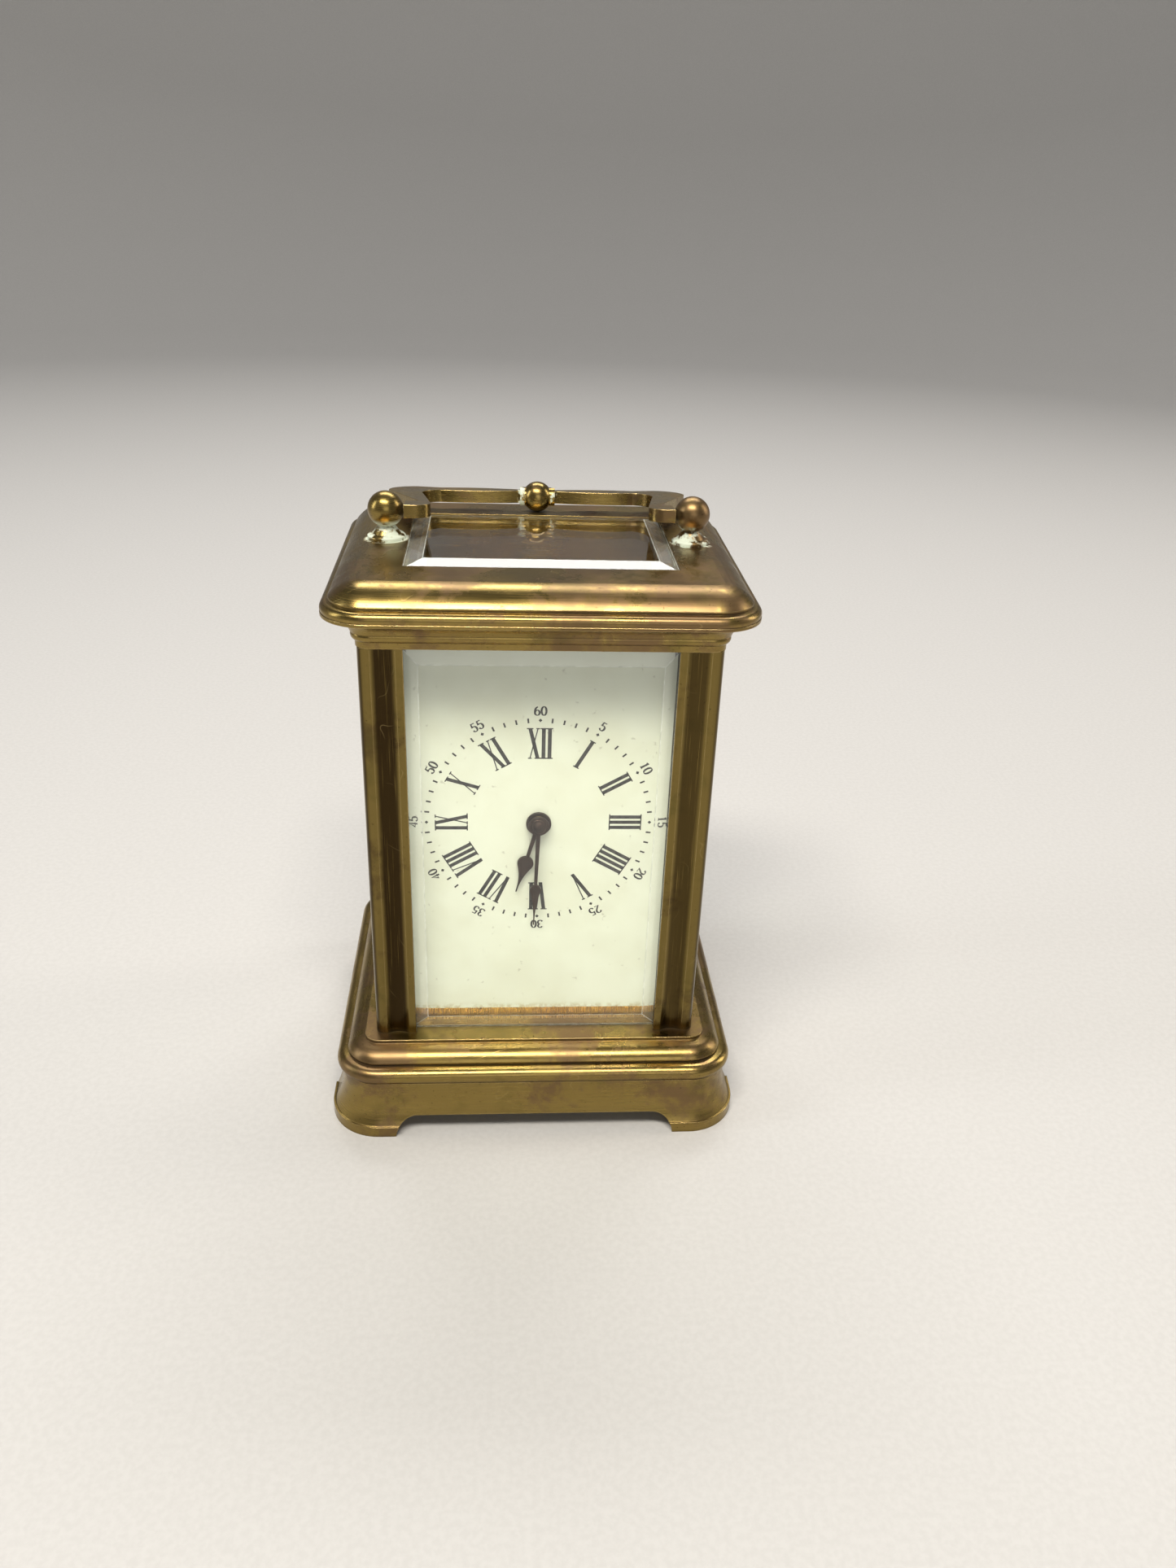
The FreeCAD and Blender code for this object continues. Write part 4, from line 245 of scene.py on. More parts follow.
class Wear:
    """Shares of tarnish, rubbed lines, scratches, specks, worn edges, and dark deposits with painted shade
    in corners, on old brass.
    """

    def __init__(self, shader, cover, lines, cavity):
        self.soft, self.worn, grime_and_shade = edge_masks(shader, CASE_EDGE, cavity)
        clouds = shader.noise(48, 6, 0.62, 0.4)
        self.mottle = shader.noise(520, 5, 0.6)
        uneven = shader.plus(shader.times(clouds, 0.78), shader.times(self.mottle, 0.22))
        self.stain = shader.spread(uneven, 0.62 - cover, 0.74 - cover)
        self.rubbed = shader.noise(1, 4, 0.6, 0.0, shader.scaled(lines))
        scratched = shader.spread(shader.noise(160, 2), 0.50, 0.66)
        self.hair = shader.times(shader.hairlines(0.0045, 95, 1.5, 0.5, 0.6), scratched)
        self.specks = shader.spread(shader.noise(1900, 2, 0.5), 0.67, 0.75)
        # Dark deposits and painted shade in closed-in corners, broken up in clouds.
        dirt = shader.times(grime_and_shade, shader.spread(clouds, 0.25, 0.65, 0.55, 1.0))
        self.dirt = shader.times(dirt, 0.85)


def brass_tint(shader, wear_and_shade, gold, tarnish, painted_light):
    """Colour of old brass, with painted shade in its corners and any painted light given for it."""
    tint = shader.blend(wear_and_shade.stain, gold, tarnish)
    tint = shader.blend(shader.spread(shader.noise(130, 4, 0.6, 0.3), 0.52, 0.78, 0.0, 0.55), tint, OLIVE)
    tint = shader.blend(shader.spread(wear_and_shade.rubbed, 0.30, 0.72, 0.16, 0.0), tint, OLIVE)
    tint = shader.blend(shader.times(wear_and_shade.specks, 0.55), tint, GRIME_AND_SHADE)
    bare = shader.times(wear_and_shade.worn, shader.spread(wear_and_shade.mottle, 0.3, 0.6, 0.45, 0.9))
    tint = shader.blend(bare, tint, WORN)
    # Painted shade and painted highlights of the flutes, where given.
    if painted_light is not None:
        tint = painted_light(shader, tint, wear_and_shade.rubbed)
    # Dark deposits with painted shade in closed-in corners.
    tint = shader.blend(wear_and_shade.dirt, tint, GRIME_AND_SHADE)
    return shader.blend(shader.times(wear_and_shade.hair, 0.16), tint, WORN)


def brass_roughness(shader, wear_and_shade, rough):
    """Roughness of old brass: smoothest on worn edges, dull under tarnish and in closed-in corners."""
    matt = shader.plus(shader.spread(wear_and_shade.stain, 0.0, 1.0, rough, rough + 0.10),
                       shader.spread(wear_and_shade.rubbed, 0.25, 0.75, -0.03, 0.06))
    matt = shader.plus(matt, shader.spread(shader.noise(75, 3), 0.4, 0.7, -0.03, 0.06))
    matt = shader.plus(matt, shader.times(wear_and_shade.dirt, 0.30))
    return shader.minus(matt, shader.times(wear_and_shade.worn, 0.06))


def brass_relief(shader, wear_and_shade):
    """Height of the fine unevenness of old brass."""
    height = shader.plus(shader.times(wear_and_shade.rubbed, 0.22), shader.times(wear_and_shade.mottle, 0.16))
    height = shader.minus(height, shader.times(wear_and_shade.hair, 0.45))
    return shader.minus(height, shader.times(wear_and_shade.specks, 0.30))


def brass(name, gold, tarnish, cover, lines, rough, crust=None, cavity=1.6 * MM, painted_light=None):
    """Old brass: tarnish in clouds, worn bright edges, dark deposits with painted shade in corners, rubbed
    lines and scratches.
    """
    shader = Shader(name)
    wear_and_shade = Wear(shader, cover, lines, cavity)
    tint = brass_tint(shader, wear_and_shade, gold, tarnish, painted_light)
    matt = brass_roughness(shader, wear_and_shade, rough)
    metal = shader.spread(wear_and_shade.dirt, 0.0, 1.0, 1.0, 0.35)
    height = brass_relief(shader, wear_and_shade)
    if crust is not None:
        flakes = crust(shader)
        tint = shader.blend(flakes, tint, CRUST)
        matt = shader.plus(matt, shader.times(flakes, 0.5))
        metal = shader.times(metal, shader.spread(flakes, 0.0, 1.0, 1.0, 0.0))
        height = shader.plus(height, shader.times(flakes, 2.2))
    dents = shader.bump(shader.noise(70, 2, 0.5), DENT_DEPTH, 0.30, wear_and_shade.soft)
    normal = shader.bump(height, RELIEF_DEPTH, 0.7, dents)
    surface = shader.principled(Base_Color=tint, Metallic=metal, Roughness=matt, Normal=normal)
    return shader.finish(surface)


def crust_by_posts(shader):
    """Dried polish in a broken ring round each handle post, thicker on the left."""
    mirrored = shader.node("ShaderNodeCombineXYZ", {
        0: shader.unsigned(shader.axis("X")), 1: shader.axis("Y"), 2: shader.axis("Z")}).outputs[0]
    neck = (POST_X, 0.0, POST_LOW.z + POST_NECK)
    close = shader.near(neck, 3.4 * MM, 1.1 * MM, mirrored)
    left = shader.spread(shader.axis("X"), -12 * MM, 12 * MM, 0.03, -0.06)
    patchy = shader.spread(shader.plus(shader.noise(330, 4, 0.65), left), 0.43, 0.54)
    return shader.times(close, patchy)


def crust_by_ball(shader):
    """Dried polish beside the collars of the handle's centre ball, thinner on the right."""
    close = shader.near(tuple((BALL_LOW + BALL_HIGH) / 2), 3.7 * MM, 0.5 * MM)
    aside = shader.spread(shader.unsigned(shader.axis("X")), 2.35 * MM, 2.60 * MM)
    right = shader.spread(shader.axis("X"), 0.0, 2.0 * MM, 0.0, 0.07)
    patchy = shader.spread(shader.minus(shader.noise(600, 4, 0.65), right), 0.44, 0.56)
    return shader.times(shader.times(close, aside), patchy)


def fluted_patina(shader, tint, streaks):
    """Painted shade in the flutes with painted highlight lines up them, between paler lands; the painted
    shade is heavier on the left pillars.
    """
    normal = shader.parts(shader.face_normal())
    depth = 0.0
    for letter, face in (("X", PILLAR_OUT.x), ("Y", PILLAR_OUT.y)):
        out = shader.unsigned(shader.axis(letter))
        sunk = shader.spread(out, face - FLUTE_DEEP, face - FLUTE_SHALLOW, 1.0, 0.0)
        facing = shader.spread(shader.unsigned(normal[letter]), 0.5, 0.8)
        depth = shader.larger(depth, shader.times(sunk, facing))
    # Painted shade in the flutes, heavier on the left pillars.
    left = shader.spread(shader.axis("X"), -10 * MM, 10 * MM, 0.95, 0.72)
    tint = shader.blend(shader.times(depth, left), tint, FLUTE_PAINTED_SHADE)
    # Painted highlight lines up the flutes.
    bright = shader.times(depth, shader.spread(streaks, 0.56, 0.72, 0.0, 0.50))
    return shader.blend(bright, tint, GOLD)


def movement_brass():
    """Lacquered brass of the plates and wheels, with a fine straight grain, worn edges and painted shade
    in corners.
    """
    shader = Shader("movement_brass")
    soft, worn, grime_and_shade = edge_masks(shader, MOVEMENT_EDGE, MOVEMENT_CAVITY)
    grain = shader.noise(1, 3, 0.6, 0.0, shader.scaled((9000, 9000, 260)))
    tint = shader.blend(shader.spread(shader.noise(70, 4), 0.4, 0.75), BRIGHT_BRASS, DULL_BRASS)
    tint = shader.blend(shader.times(worn, 0.6), tint, WORN)
    # Painted shade with dark deposits in closed-in corners.
    tint = shader.blend(shader.times(grime_and_shade, 0.6), tint, GRIME_AND_SHADE)
    matt = shader.plus(shader.spread(grain, 0.3, 0.7, 0.22, 0.34), shader.times(grime_and_shade, 0.2))
    normal = shader.bump(grain, 0.02 * MM, 0.6, soft)
    surface = shader.principled(Base_Color=tint, Metallic=1.0, Roughness=matt, Normal=normal)
    return shader.finish(surface)


def steel(name, tint, stain, rough):
    """Polished or blackened steel with fine grain and stains."""
    shader = Shader(name)
    soft, worn, grime_and_shade = edge_masks(shader, STEEL_EDGE, MOVEMENT_CAVITY)
    clouds = shader.noise(260, 5, 0.6)
    grain = shader.noise(3500, 3, 0.6)
    shade = shader.blend(shader.spread(clouds, 0.42, 0.68), tint, stain)
    shade = shader.blend(shader.times(worn, 0.35), shade, BARE_STEEL)
    matt = shader.plus(shader.spread(grain, 0.3, 0.7, rough, rough + 0.10), shader.times(grime_and_shade, 0.25))
    normal = shader.bump(grain, 0.015 * MM, 0.5, soft)
    surface = shader.principled(Base_Color=shade, Metallic=0.9, Roughness=matt, Normal=normal)
    return shader.finish(surface)


def enamel():
    """Cream enamel with a faint cloud, pin specks, hairline marks and a dirty lower edge."""
    shader = Shader("enamel")
    clouds = shader.noise(70, 4, 0.6)
    tint = shader.blend(shader.spread(clouds, 0.35, 0.7), CREAM, YELLOWED_CREAM)
    specks = shader.spread(shader.noise(900, 2, 0.5), 0.70, 0.76)
    tint = shader.blend(shader.times(specks, 0.30), tint, colour(0.22, 0.19, 0.13))
    marked = shader.spread(shader.noise(75, 2), 0.60, 0.70)
    marks = shader.times(shader.hairlines(0.0022, 60, 1, 0.5, 0.3), marked)
    tint = shader.blend(shader.times(marks, 0.40), tint, colour(0.24, 0.22, 0.17))
    low = shader.spread(shader.axis("Z"), DIAL_LOW.z, DIAL_LOW.z + 1.6 * MM, 1.0, 0.0)
    flaked = shader.times(low, shader.spread(shader.noise(1100, 4, 0.7), 0.42, 0.60))
    tint = shader.blend(shader.times(flaked, 0.65), tint, colour(0.42, 0.34, 0.14))
    ripple = shader.bump(shader.noise(180, 2), 0.03 * MM, 0.35)
    return shader.finish(shader.principled(
        Base_Color=tint, Roughness=shader.spread(clouds, 0.3, 0.7, 0.16, 0.26), Normal=ripple,
        Coat_Weight=0.35, Coat_Roughness=0.06))


def ink():
    """Fired black of the numerals, a little worn."""
    shader = Shader("dial_black")
    thin = shader.spread(shader.noise(1500, 3, 0.6), 0.35, 0.70)
    tint = shader.blend(thin, colour(0.012, 0.011, 0.012), colour(0.05, 0.048, 0.045))
    matt = shader.spread(thin, 0.0, 1.0, 0.3, 0.5)
    return shader.finish(shader.principled(Base_Color=tint, Roughness=matt))


def slope_share(shader, flat):
    """1 on the sloping bevels of a glass, 0 on its flat faces and its edges."""
    own = shader.node("ShaderNodeVectorTransform", {0: flat}, vector_type="NORMAL",
                      convert_from="WORLD", convert_to="OBJECT").outputs[0]
    parts = shader.parts(own)
    largest = 0.0
    for letter in "XYZ":
        largest = shader.larger(largest, shader.unsigned(parts[letter]))
    return shader.spread(largest, 0.998, 0.990)


def clear_glass():
    """Plate glass with faint smears, ground edges and hazy bevels; lamps shine through it."""
    shader = Shader("bevelled_glass")
    smears = shader.spread(shader.noise(55, 5, 0.6, 1.2), 0.50, 0.72, 0.0, 0.035)
    ripple = shader.bump(shader.noise(60, 2), 0.05 * MM, 0.12)
    glass = shader.principled(Base_Color=GLASS_TINT, Roughness=smears, Normal=ripple,
                              Transmission_Weight=1.0, IOR=1.50)
    flat = shader.face_normal()
    bend = shader.agreement(shader.rounded_normal(GLASS_EDGE), flat)
    chipped = shader.spread(shader.noise(700, 3, 0.6), 0.35, 0.65, 0.55, 1.0)
    ground = shader.times(shader.spread(bend, 0.9999, 0.9960), chipped)
    ground = shader.larger(ground, shader.times(slope_share(shader, flat), BEVEL_HAZE))
    edge = shader.principled(Base_Color=GROUND_GLASS, Roughness=0.30)
    glass = shader.node("ShaderNodeMixShader", {0: ground, 1: glass.outputs[0], 2: edge.outputs[0]})
    through = shader.node("ShaderNodeBsdfTransparent", {"Color": GLASS_SHADE})
    lamp_ray = shader.tree.nodes.new("ShaderNodeLightPath").outputs["Is Shadow Ray"]
    return shader.finish(shader.node("ShaderNodeMixShader", {
        0: lamp_ray, 1: glass.outputs[0], 2: through.outputs[0]}))


def ruby():
    """Red bearing stone."""
    shader = Shader("jewel")
    clouds = shader.spread(shader.noise(900, 3), 0.4, 0.7)
    tint = shader.blend(clouds, colour(0.55, 0.02, 0.06), colour(0.35, 0.01, 0.04))
    return shader.finish(shader.principled(Base_Color=tint, Roughness=0.08, Coat_Weight=1.0))


def studio_paper():
    """Pale seamless paper."""
    shader = Shader("studio_paper")
    fibre = shader.noise(900, 3)
    clouds = shader.spread(fibre, 0.3, 0.7)
    tint = shader.blend(clouds, colour(0.49, 0.485, 0.475), colour(0.52, 0.515, 0.505))
    return shader.finish(shader.principled(Base_Color=tint, Roughness=0.85, Specular_IOR_Level=0.2,
                                           Normal=shader.bump(fibre, 0.05 * MM, 0.3)))


def dress(material, *names):
    """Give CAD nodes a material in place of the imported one."""
    for name in names:
        slots = NODES[name].material_slots
        if not slots:
            NODES[name].data.materials.append(material)
        for slot in slots:
            slot.material = material


# Stretch of the rubbed lines: level ones round the case, upright ones, and ones along the handle.
ROUND_CASE = (70, 70, 5200)
UPRIGHT = (5200, 5200, 60)
ALONG_HANDLE = (90, 4200, 4200)


def dress_case():
    """Materials of the case, the handle and the glasses."""
    dress(brass("base_brass", GOLD, BROWN, 0.13, ROUND_CASE, 0.25), "base")
    dress(brass("top_brass", GOLD, BROWN, 0.17, ROUND_CASE, 0.25, crust_by_posts), "top_frame")
    # Pillars: a shaded copy of the case brass, painted shade reaching further into corners, and painted
    # shade and highlights on the flutes.
    dress(brass("pillar_shaded_brass", PILLAR_SHADED_GOLD, PILLAR_SHADED_TARNISH, 0.10, UPRIGHT, 0.15, cavity=2.4 * MM,
                painted_light=fluted_patina),
          "pillar_front_right", "pillar_back_right", "pillar_back_left", "pillar_front_left")
    dress(brass("door_brass", GOLD, BROWN, 0.10, UPRIGHT, 0.25), "door_frame", "door_knob", "door_pins")
    dress(brass("handle_brass", GOLD, BROWN, 0.14, ALONG_HANDLE, 0.24, crust_by_ball),
          "handle_bail", "handle_pins")
    dress(brass("ball_brass", GOLD, BROWN, 0.14, ALONG_HANDLE, 0.26, crust_by_ball), "handle_ball")
    dress(brass("post_brass", GOLD, BROWN, 0.16, ROUND_CASE, 0.27, crust_by_posts),
          "post_left", "post_right")
    dress(clear_glass(), "glass_front", "glass_right", "glass_left", "glass_top", "door_glass")


def dress_movement():
    """Materials of the dial, the hands and the movement."""
    dress(enamel(), "dial")
    dress(steel("hand_steel", colour(0.055, 0.034, 0.026), colour(0.030, 0.017, 0.014), 0.30),
          "hour_hand", "minute_hand", "cannon_pinion", "centre_arbor")
    dress(steel("movement_steel", colour(0.50, 0.50, 0.51), colour(0.36, 0.34, 0.32), 0.20),
          "case_screws", "movement_seat_screws", "plate_screws", "platform_screws", "click",
          "click_screw", "click_spring", "third_arbor", "fourth_arbor", "escape_arbor",
          "balance_staff", "winding_arbor", "ratchet_wheel", "minute_wheel_stud", "regulator",
          "mainspring")
    dress(steel("spring_steel", colour(0.05, 0.09, 0.30), colour(0.04, 0.06, 0.20), 0.22), "hairspring")
    dress(ruby(), "jewels")
    dress(movement_brass(), "dial_backing", "dial_feet", "movement_front_plate",
          "movement_back_plate", "movement_pillars", "barrel", "barrel_cover", "centre_wheel",
          "third_wheel", "contrate_wheel", "minute_wheel", "hour_wheel", "platform",
          "balance_cock", "escape_bridge", "lower_potence", "escape_wheel", "balance_wheel")


# --- dial markings --------------------------------------------------------------------------------

NUMERAL_FOOT = 12.9 * MM
NUMERAL_HEIGHT = 6.0 * MM
THICK_STROKE = 0.68 * MM
THIN_STROKE = 0.21 * MM
SERIF = 0.30 * MM
LETTER_WIDTH = {"I": 1.08 * MM, "V": 2.35 * MM, "X": 2.35 * MM}
HEAVY_SERIF = THICK_STROKE + 1.6 * SERIF
LIGHT_SERIF = 2.2 * SERIF
TICK_RADIUS = 20.4 * MM
TICK_LENGTH = 0.90 * MM
TICK_WIDTH = 0.32 * MM
LOZENGE_HALF = 0.34 * MM
FIGURE_RADIUS = 22.2 * MM
FIGURE_HEIGHT = 1.65 * MM
FIGURE_THICK = 0.37 * MM
FIGURE_THIN = 0.16 * MM
FIGURE_WIDTH = 0.60
FIGURE_ADVANCE = 0.72
PAINT_ABOVE = 0.02 * MM
PAINT_BELOW = 0.01 * MM
ROMAN = ("XII", "I", "II", "III", "IIII", "V", "VI", "VII", "VIII", "IX", "X", "XI")


def level_stroke(first, last, width):
    """Slanted stroke with level ends, as four corners."""
    half = Vector((width / 2, 0))
    return [first - half, first + half, last + half, last - half]


def serif(centre, width, at_top):
    """Thin level line that ends a stroke, inside the numeral's height."""
    left = Vector((centre.x - width / 2, centre.y))
    right = Vector((centre.x + width / 2, centre.y))
    rise = Vector((0, -THIN_STROKE if at_top else THIN_STROKE))
    return [left + rise, right + rise, right, left] if at_top else [left, right, right + rise, left + rise]


def upright_strokes(middle):
    """Strokes of the letter I."""
    foot = Vector((middle, 0))
    head = Vector((middle, NUMERAL_HEIGHT))
    return [level_stroke(foot, head, THICK_STROKE),
            serif(foot, HEAVY_SERIF, False), serif(head, HEAVY_SERIF, True)]


def slanted_strokes(letter, left):
    """Strokes of the letter V or X: thick down to the right, thin up to the right."""
    inset = SERIF + THICK_STROKE / 4
    right = left + LETTER_WIDTH[letter]
    head_left = Vector((left + inset, NUMERAL_HEIGHT))
    head_right = Vector((right - inset, NUMERAL_HEIGHT))
    heads = [serif(head_left, HEAVY_SERIF, True), serif(head_right, LIGHT_SERIF, True)]
    if letter == "V":
        point = Vector((left + LETTER_WIDTH[letter] / 2, 0))
        return [level_stroke(point, head_left, THICK_STROKE),
                level_stroke(point, head_right, THIN_STROKE)] + heads
    foot_left = Vector((left + inset, 0))
    foot_right = Vector((right - inset, 0))
    return [level_stroke(foot_right, head_left, THICK_STROKE),
            level_stroke(foot_left, head_right, THIN_STROKE),
            serif(foot_left, LIGHT_SERIF, False), serif(foot_right, HEAVY_SERIF, False)] + heads


def letter_strokes(letter, left):
    """Strokes of one Roman letter whose cell starts at left, from 0 up to the numeral's height."""
    if letter == "I":
        return upright_strokes(left + LETTER_WIDTH[letter] / 2)
    return slanted_strokes(letter, left)


def arc_points(centre, radii, start, finish, count=14):
    """Points on an ellipse between two angles in degrees."""
    turns = [math.radians(start + (finish - start) * step / count) for step in range(count + 1)]
    return line_points(*((centre[0] + radii[0] * math.cos(turn), centre[1] + radii[1] * math.sin(turn))
                         for turn in turns))


def line_points(*places):
    """Points of a bent line."""
    return [Vector(place) for place in places]


# Pen lines of the small figures, in a cell one unit high.
FIGURE_LINES = {
    "0": [arc_points((0.30, 0.5), (0.26, 0.5), 90, 450, 24)],
    "1": [line_points((0.12, 0.80), (0.30, 0.98), (0.30, 0.02)), line_points((0.12, 0.02), (0.48, 0.02))],
    "2": [arc_points((0.30, 0.72), (0.24, 0.28), 170, -35) + line_points((0.06, 0.03), (0.56, 0.03))],
    "3": [arc_points((0.28, 0.75), (0.22, 0.25), 160, -90)
          + arc_points((0.28, 0.26), (0.26, 0.26), 90, -160)],
    "4": [line_points((0.58, 0.28), (0.04, 0.28), (0.42, 0.98), (0.42, 0.02))],
    "5": [line_points((0.52, 0.97), (0.14, 0.97), (0.11, 0.54))
          + arc_points((0.29, 0.31), (0.25, 0.31), 120, -160)],
    "6": [arc_points((0.44, 0.45), (0.38, 0.53), 100, 180, 8)
          + arc_points((0.31, 0.30), (0.25, 0.30), 180, 540, 20)],
}


def pen_line(points, thick, thin):
    """Quads along a line, wide where it runs up and narrow where it runs across."""
    left = []
    right = []
    for index, point in enumerate(points):
        way = points[min(index + 1, len(points) - 1)] - points[max(index - 1, 0)]
        way.normalize()
        half = (thin + (thick - thin) * abs(way.y) ** 1.5) / 2
        side = Vector((-way.y, way.x)) * half
        left.append(point + side)
        right.append(point - side)
    return [[right[i], right[i + 1], left[i + 1], left[i]] for i in range(len(points) - 1)]


def figure_strokes(text):
    """Quads of a small number, centred."""
    quads = []
    width = FIGURE_ADVANCE * (len(text) - 1) + FIGURE_WIDTH
    for place, sign in enumerate(text):
        shift = Vector((FIGURE_ADVANCE * place - width / 2, -0.5))
        for line in FIGURE_LINES[sign]:
            placed = [(point + shift) * FIGURE_HEIGHT for point in line]
            quads += pen_line(placed, FIGURE_THICK, FIGURE_THIN)
    return quads


def on_dial(point, angle):
    """Dial place of a point given across and outwards, for a mark at an angle clockwise from twelve."""
    turn = math.radians(angle)
    across = Vector((math.cos(turn), 0, -math.sin(turn)))
    outwards = Vector((math.sin(turn), 0, math.cos(turn)))
    return DIAL_CENTRE + across * point.x + outwards * point.y


def add_slab(mesh, corners, angle):
    """Thin painted slab on the dial over four corners."""
    front, back = ([mesh.verts.new(on_dial(corner, angle) + Vector((0, depth, 0))) for corner in corners]
                   for depth in (-PAINT_ABOVE, PAINT_BELOW))
    mesh.faces.new(front)
    mesh.faces.new(back[::-1])
    for index in range(len(corners)):
        following = (index + 1) % len(corners)
        mesh.faces.new([front[following], front[index], back[index], back[following]])


def to_object(name, mesh, material, smooth=False):
    """Object of a bmesh, linked to the scene."""
    bmesh.ops.recalc_face_normals(mesh, faces=mesh.faces)
    data = bpy.data.meshes.new(name)
    mesh.to_mesh(data)
    mesh.free()
    data.materials.append(material)
    for face in data.polygons:
        face.use_smooth = smooth
    made = bpy.data.objects.new(name, data)
    bpy.context.scene.collection.objects.link(made)
    return made


def make_numerals(material):
    """Twelve Roman numerals, their feet towards the centre."""
    mesh = bmesh.new()
    for hour, text in enumerate(ROMAN):
        left = -sum(LETTER_WIDTH[letter] for letter in text) / 2
        for letter in text:
            for stroke in letter_strokes(letter, left):
                add_slab(mesh, [corner + Vector((0, NUMERAL_FOOT)) for corner in stroke], 30 * hour)
            left += LETTER_WIDTH[letter]
    numerals = to_object("dial_hour_numerals", mesh, material)
    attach(numerals, "case")


def lozenge(radius, half):
    """Diamond at a radius of the dial."""
    return [Vector((0, radius - half)), Vector((half, radius)), Vector((0, radius + half)),
            Vector((-half, radius))]


def make_minute_track(material):
    """Minute dashes, with a lozenge at every fifth, and the small numbers outside them."""
    mesh = bmesh.new()
    foot = Vector((0, TICK_RADIUS - TICK_LENGTH / 2))
    dash = level_stroke(foot, foot + Vector((0, TICK_LENGTH)), TICK_WIDTH)
    for minute in range(60):
        add_slab(mesh, dash if minute % 5 else lozenge(TICK_RADIUS, LOZENGE_HALF), 6 * minute)
    track = to_object("dial_minute_track", mesh, material)
    mesh = bmesh.new()
    for step in range(12):
        for quad in figure_strokes(str(5 * step or 60)):
            add_slab(mesh, [corner + Vector((0, FIGURE_RADIUS)) for corner in quad], 30 * step)
    figures = to_object("dial_minute_figures", mesh, material)
    for piece in (track, figures):
        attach(piece, "case")


# --- collet over the middle of the hands ----------------------------------------------------------

# Radius and depth in millimetres from the minute hand's face: a rim, a groove, then a dome.
COLLET_PROFILE = ((1.42, 0.05), (1.42, -0.12), (1.22, -0.20), (1.02, -0.14), (0.90, -0.22),
                  (0.74, -0.36), (0.52, -0.46), (0.26, -0.52))
COLLET_SIDES = 48


def compass(sides):
    """Cosine and sine of equal turns round a circle."""
    turns = [2 * math.pi * side / sides for side in range(sides)]
    return [(math.cos(turn), math.sin(turn)) for turn in turns]


def bridge(mesh, first, second):
    """Band of quads between two rings of vertices."""
    for side in range(len(first)):
        after = (side + 1) % len(first)
        mesh.faces.new([first[side], first[after], second[after], second[side]])


def make_collet(material):
    """Small domed collet with a raised rim, in front of the minute hand."""
    mesh = bmesh.new()
    centre = Vector((DIAL_CENTRE.x, MINUTE_LOW.y, DIAL_CENTRE.z))
    rings = [[mesh.verts.new(centre + Vector((radius * across, depth, radius * up)) * MM)
              for across, up in compass(COLLET_SIDES)] for radius, depth in COLLET_PROFILE]
    for first, second in zip(rings, rings[1:]):
        bridge(mesh, first, second)
    mesh.faces.new(rings[0][::-1])
    mesh.faces.new(rings[-1])
    collet = to_object("hand_collet", mesh, material, smooth=True)
    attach(collet, "minute")


# --- stage, light and camera ----------------------------------------------------------------------

FLOOR_RINGS = (0.25, 0.6)
STAGE_RADIUS = 1.5
STAGE_BEND = 0.5
STAGE_HEIGHT = 1.3
BEND_STEPS = 8
STAGE_SIDES = 96


def stage_profile():
    """Radius and height of the rings of the floor, its bend and the wall."""
    flat = STAGE_RADIUS - STAGE_BEND
    profile = [(radius, 0.0) for radius in FLOOR_RINGS]
    for step in range(BEND_STEPS + 1):
        turn = math.radians(90 * step / BEND_STEPS)
        profile.append((flat + STAGE_BEND * math.sin(turn), STAGE_BEND - STAGE_BEND * math.cos(turn)))
    profile.append((STAGE_RADIUS, STAGE_HEIGHT))
    return profile


def make_stage(material):
    """Seamless pale floor that bends up into a wall all round."""
    mesh = bmesh.new()
    middle = mesh.verts.new((0, 0, 0))
    rings = [[mesh.verts.new((radius * across, radius * along, height))
              for across, along in compass(STAGE_SIDES)] for radius, height in stage_profile()]
    for side in range(STAGE_SIDES):
        mesh.faces.new([middle, rings[0][side], rings[0][(side + 1) % STAGE_SIDES]])
    for inner, outer in zip(rings, rings[1:]):
        bridge(mesh, inner, outer)
    to_object("studio_floor", mesh, material, smooth=True)


def area_light(name, place, aim, size, power, tint):
    """Soft rectangular lamp that faces a point."""
    lamp = bpy.data.lights.new(name, "AREA")
    lamp.shape = "RECTANGLE"
    lamp.size, lamp.size_y = size
    lamp.energy = power
    lamp.color = tint
    made = bpy.data.objects.new(name, lamp)
    made.location = place
    made.rotation_mode = "QUATERNION"
    made.rotation_quaternion = (Vector(aim) - Vector(place)).to_track_quat("-Z", "Y")
    bpy.context.scene.collection.objects.link(made)


LIT_POINT = (0, 0, 60 * MM)
SKY_COLOUR = colour(0.86, 0.90, 1.0)
SKY_STRENGTH = 0.17


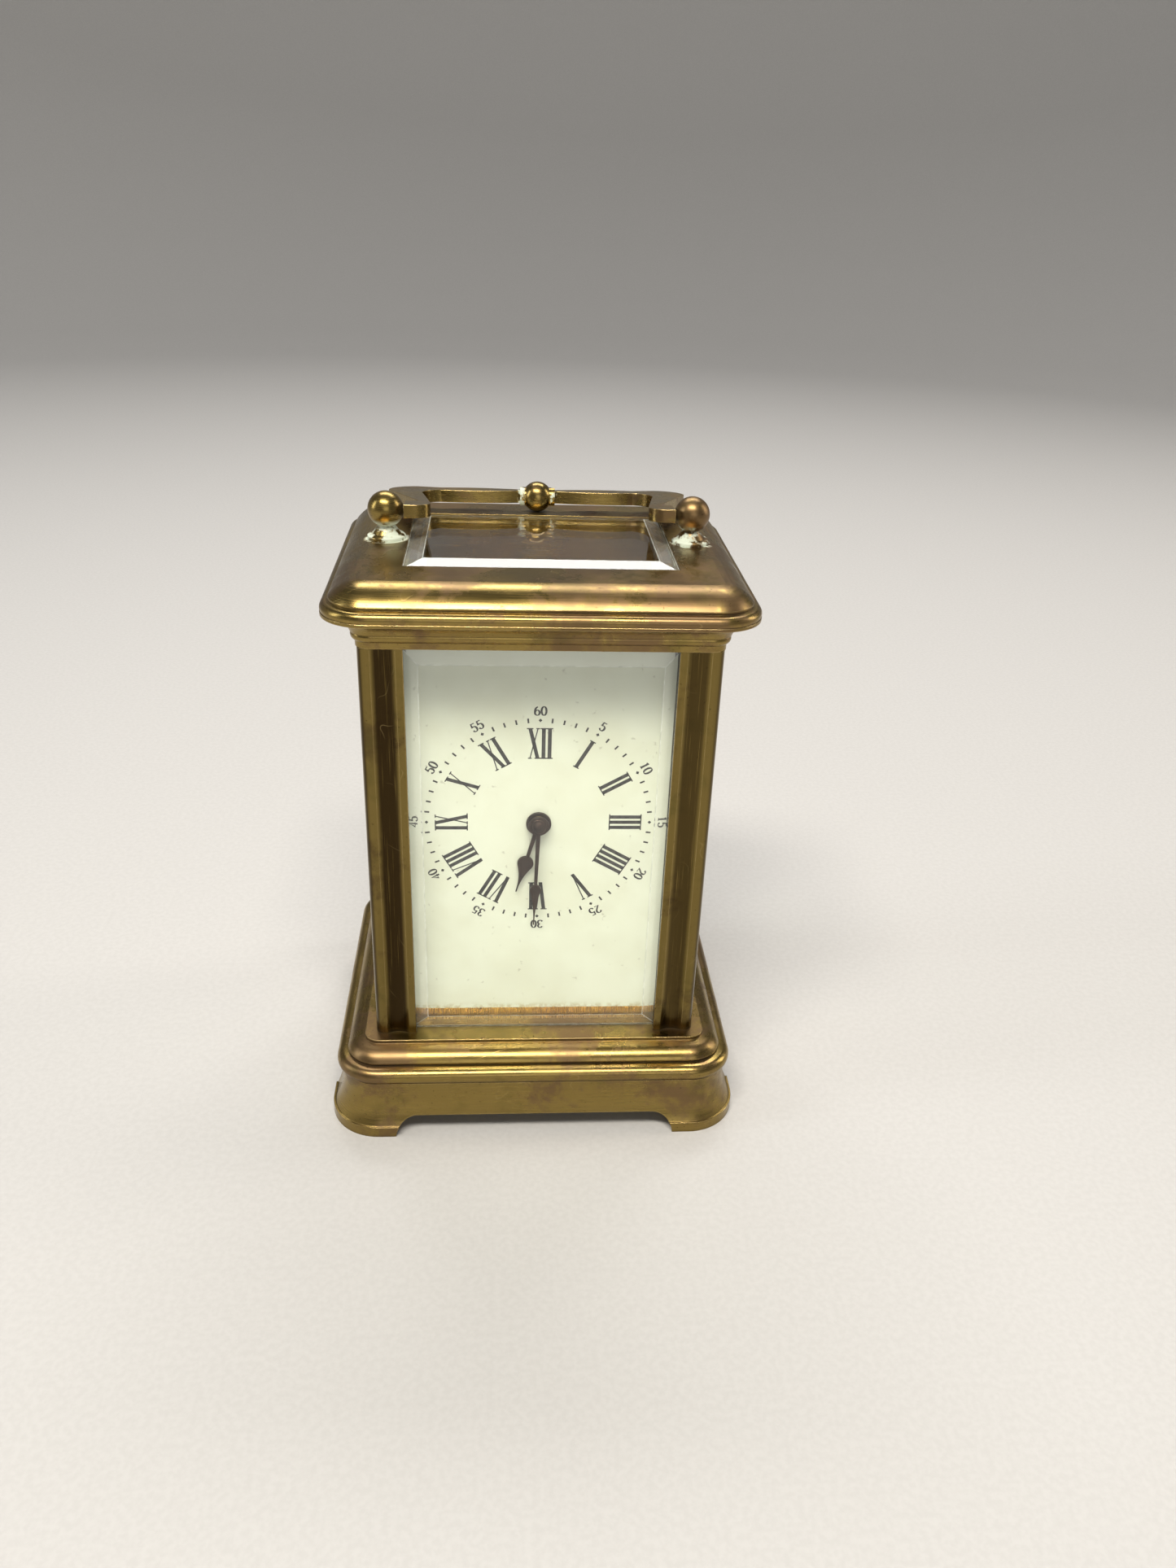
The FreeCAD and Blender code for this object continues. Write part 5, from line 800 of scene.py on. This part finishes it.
def make_lights():
    """Warm overhead strip in front, weak side fills and a back light, with a dim sky."""
    area_light("key", (-0.10, -0.42, 0.85), LIT_POINT, (0.60, 0.16), 9.5, (1.0, 0.94, 0.84))
    area_light("front_fill", (0.10, -0.90, 0.35), LIT_POINT, (0.50, 0.35), 0.9, (1.0, 0.98, 0.95))
    area_light("left_fill", (-0.90, -0.10, 0.45), LIT_POINT, (0.20, 0.60), 2.2, (0.95, 0.97, 1.0))
    area_light("right_fill", (0.90, 0.15, 0.45), LIT_POINT, (0.20, 0.60), 2.6, (1.0, 0.93, 0.86))
    area_light("back_light", (0.05, 0.50, 0.80), LIT_POINT, (0.70, 0.20), 5.0, (1.0, 0.97, 0.94))
    world = bpy.data.worlds.new("studio")
    world.use_nodes = True
    sky = world.node_tree.nodes["Background"]
    sky.inputs["Color"].default_value = SKY_COLOUR
    sky.inputs["Strength"].default_value = SKY_STRENGTH
    bpy.context.scene.world = world
    bpy.context.scene.view_settings.view_transform = "Standard"


CAMERA_PLACE = Vector((-6.90, -217.66, 170.96)) * MM
CAMERA_DOWN = math.radians(27.078)
CAMERA_ASIDE = math.radians(4.567)
CAMERA_ROLL = math.radians(2.232)
CAMERA_LENS = 28.125


def make_camera():
    """Camera in front of the clock and above it, looking down at the dial."""
    level = Vector((math.sin(CAMERA_ASIDE), math.cos(CAMERA_ASIDE), 0))
    right = Vector((math.cos(CAMERA_ASIDE), -math.sin(CAMERA_ASIDE), 0))
    above = Vector((0, 0, 1))
    ahead = level * math.cos(CAMERA_DOWN) - above * math.sin(CAMERA_DOWN)
    upward = above * math.cos(CAMERA_DOWN) + level * math.sin(CAMERA_DOWN)
    rolled_right = right * math.cos(CAMERA_ROLL) + upward * math.sin(CAMERA_ROLL)
    rolled_up = upward * math.cos(CAMERA_ROLL) - right * math.sin(CAMERA_ROLL)
    data = bpy.data.cameras.new("camera")
    data.lens = CAMERA_LENS
    data.clip_start = 0.01
    camera = bpy.data.objects.new("camera", data)
    turn = Matrix((rolled_right, rolled_up, -ahead)).transposed()
    camera.matrix_world = Matrix.Translation(CAMERA_PLACE) @ turn.to_4x4()
    bpy.context.scene.collection.objects.link(camera)
    bpy.context.scene.camera = camera


dress_case()
dress_movement()
BLACK = ink()
make_numerals(BLACK)
make_minute_track(BLACK)
make_collet(NODES["minute_hand"].active_material)
make_stage(studio_paper())
make_lights()
make_camera()
bpy.context.view_layer.update()
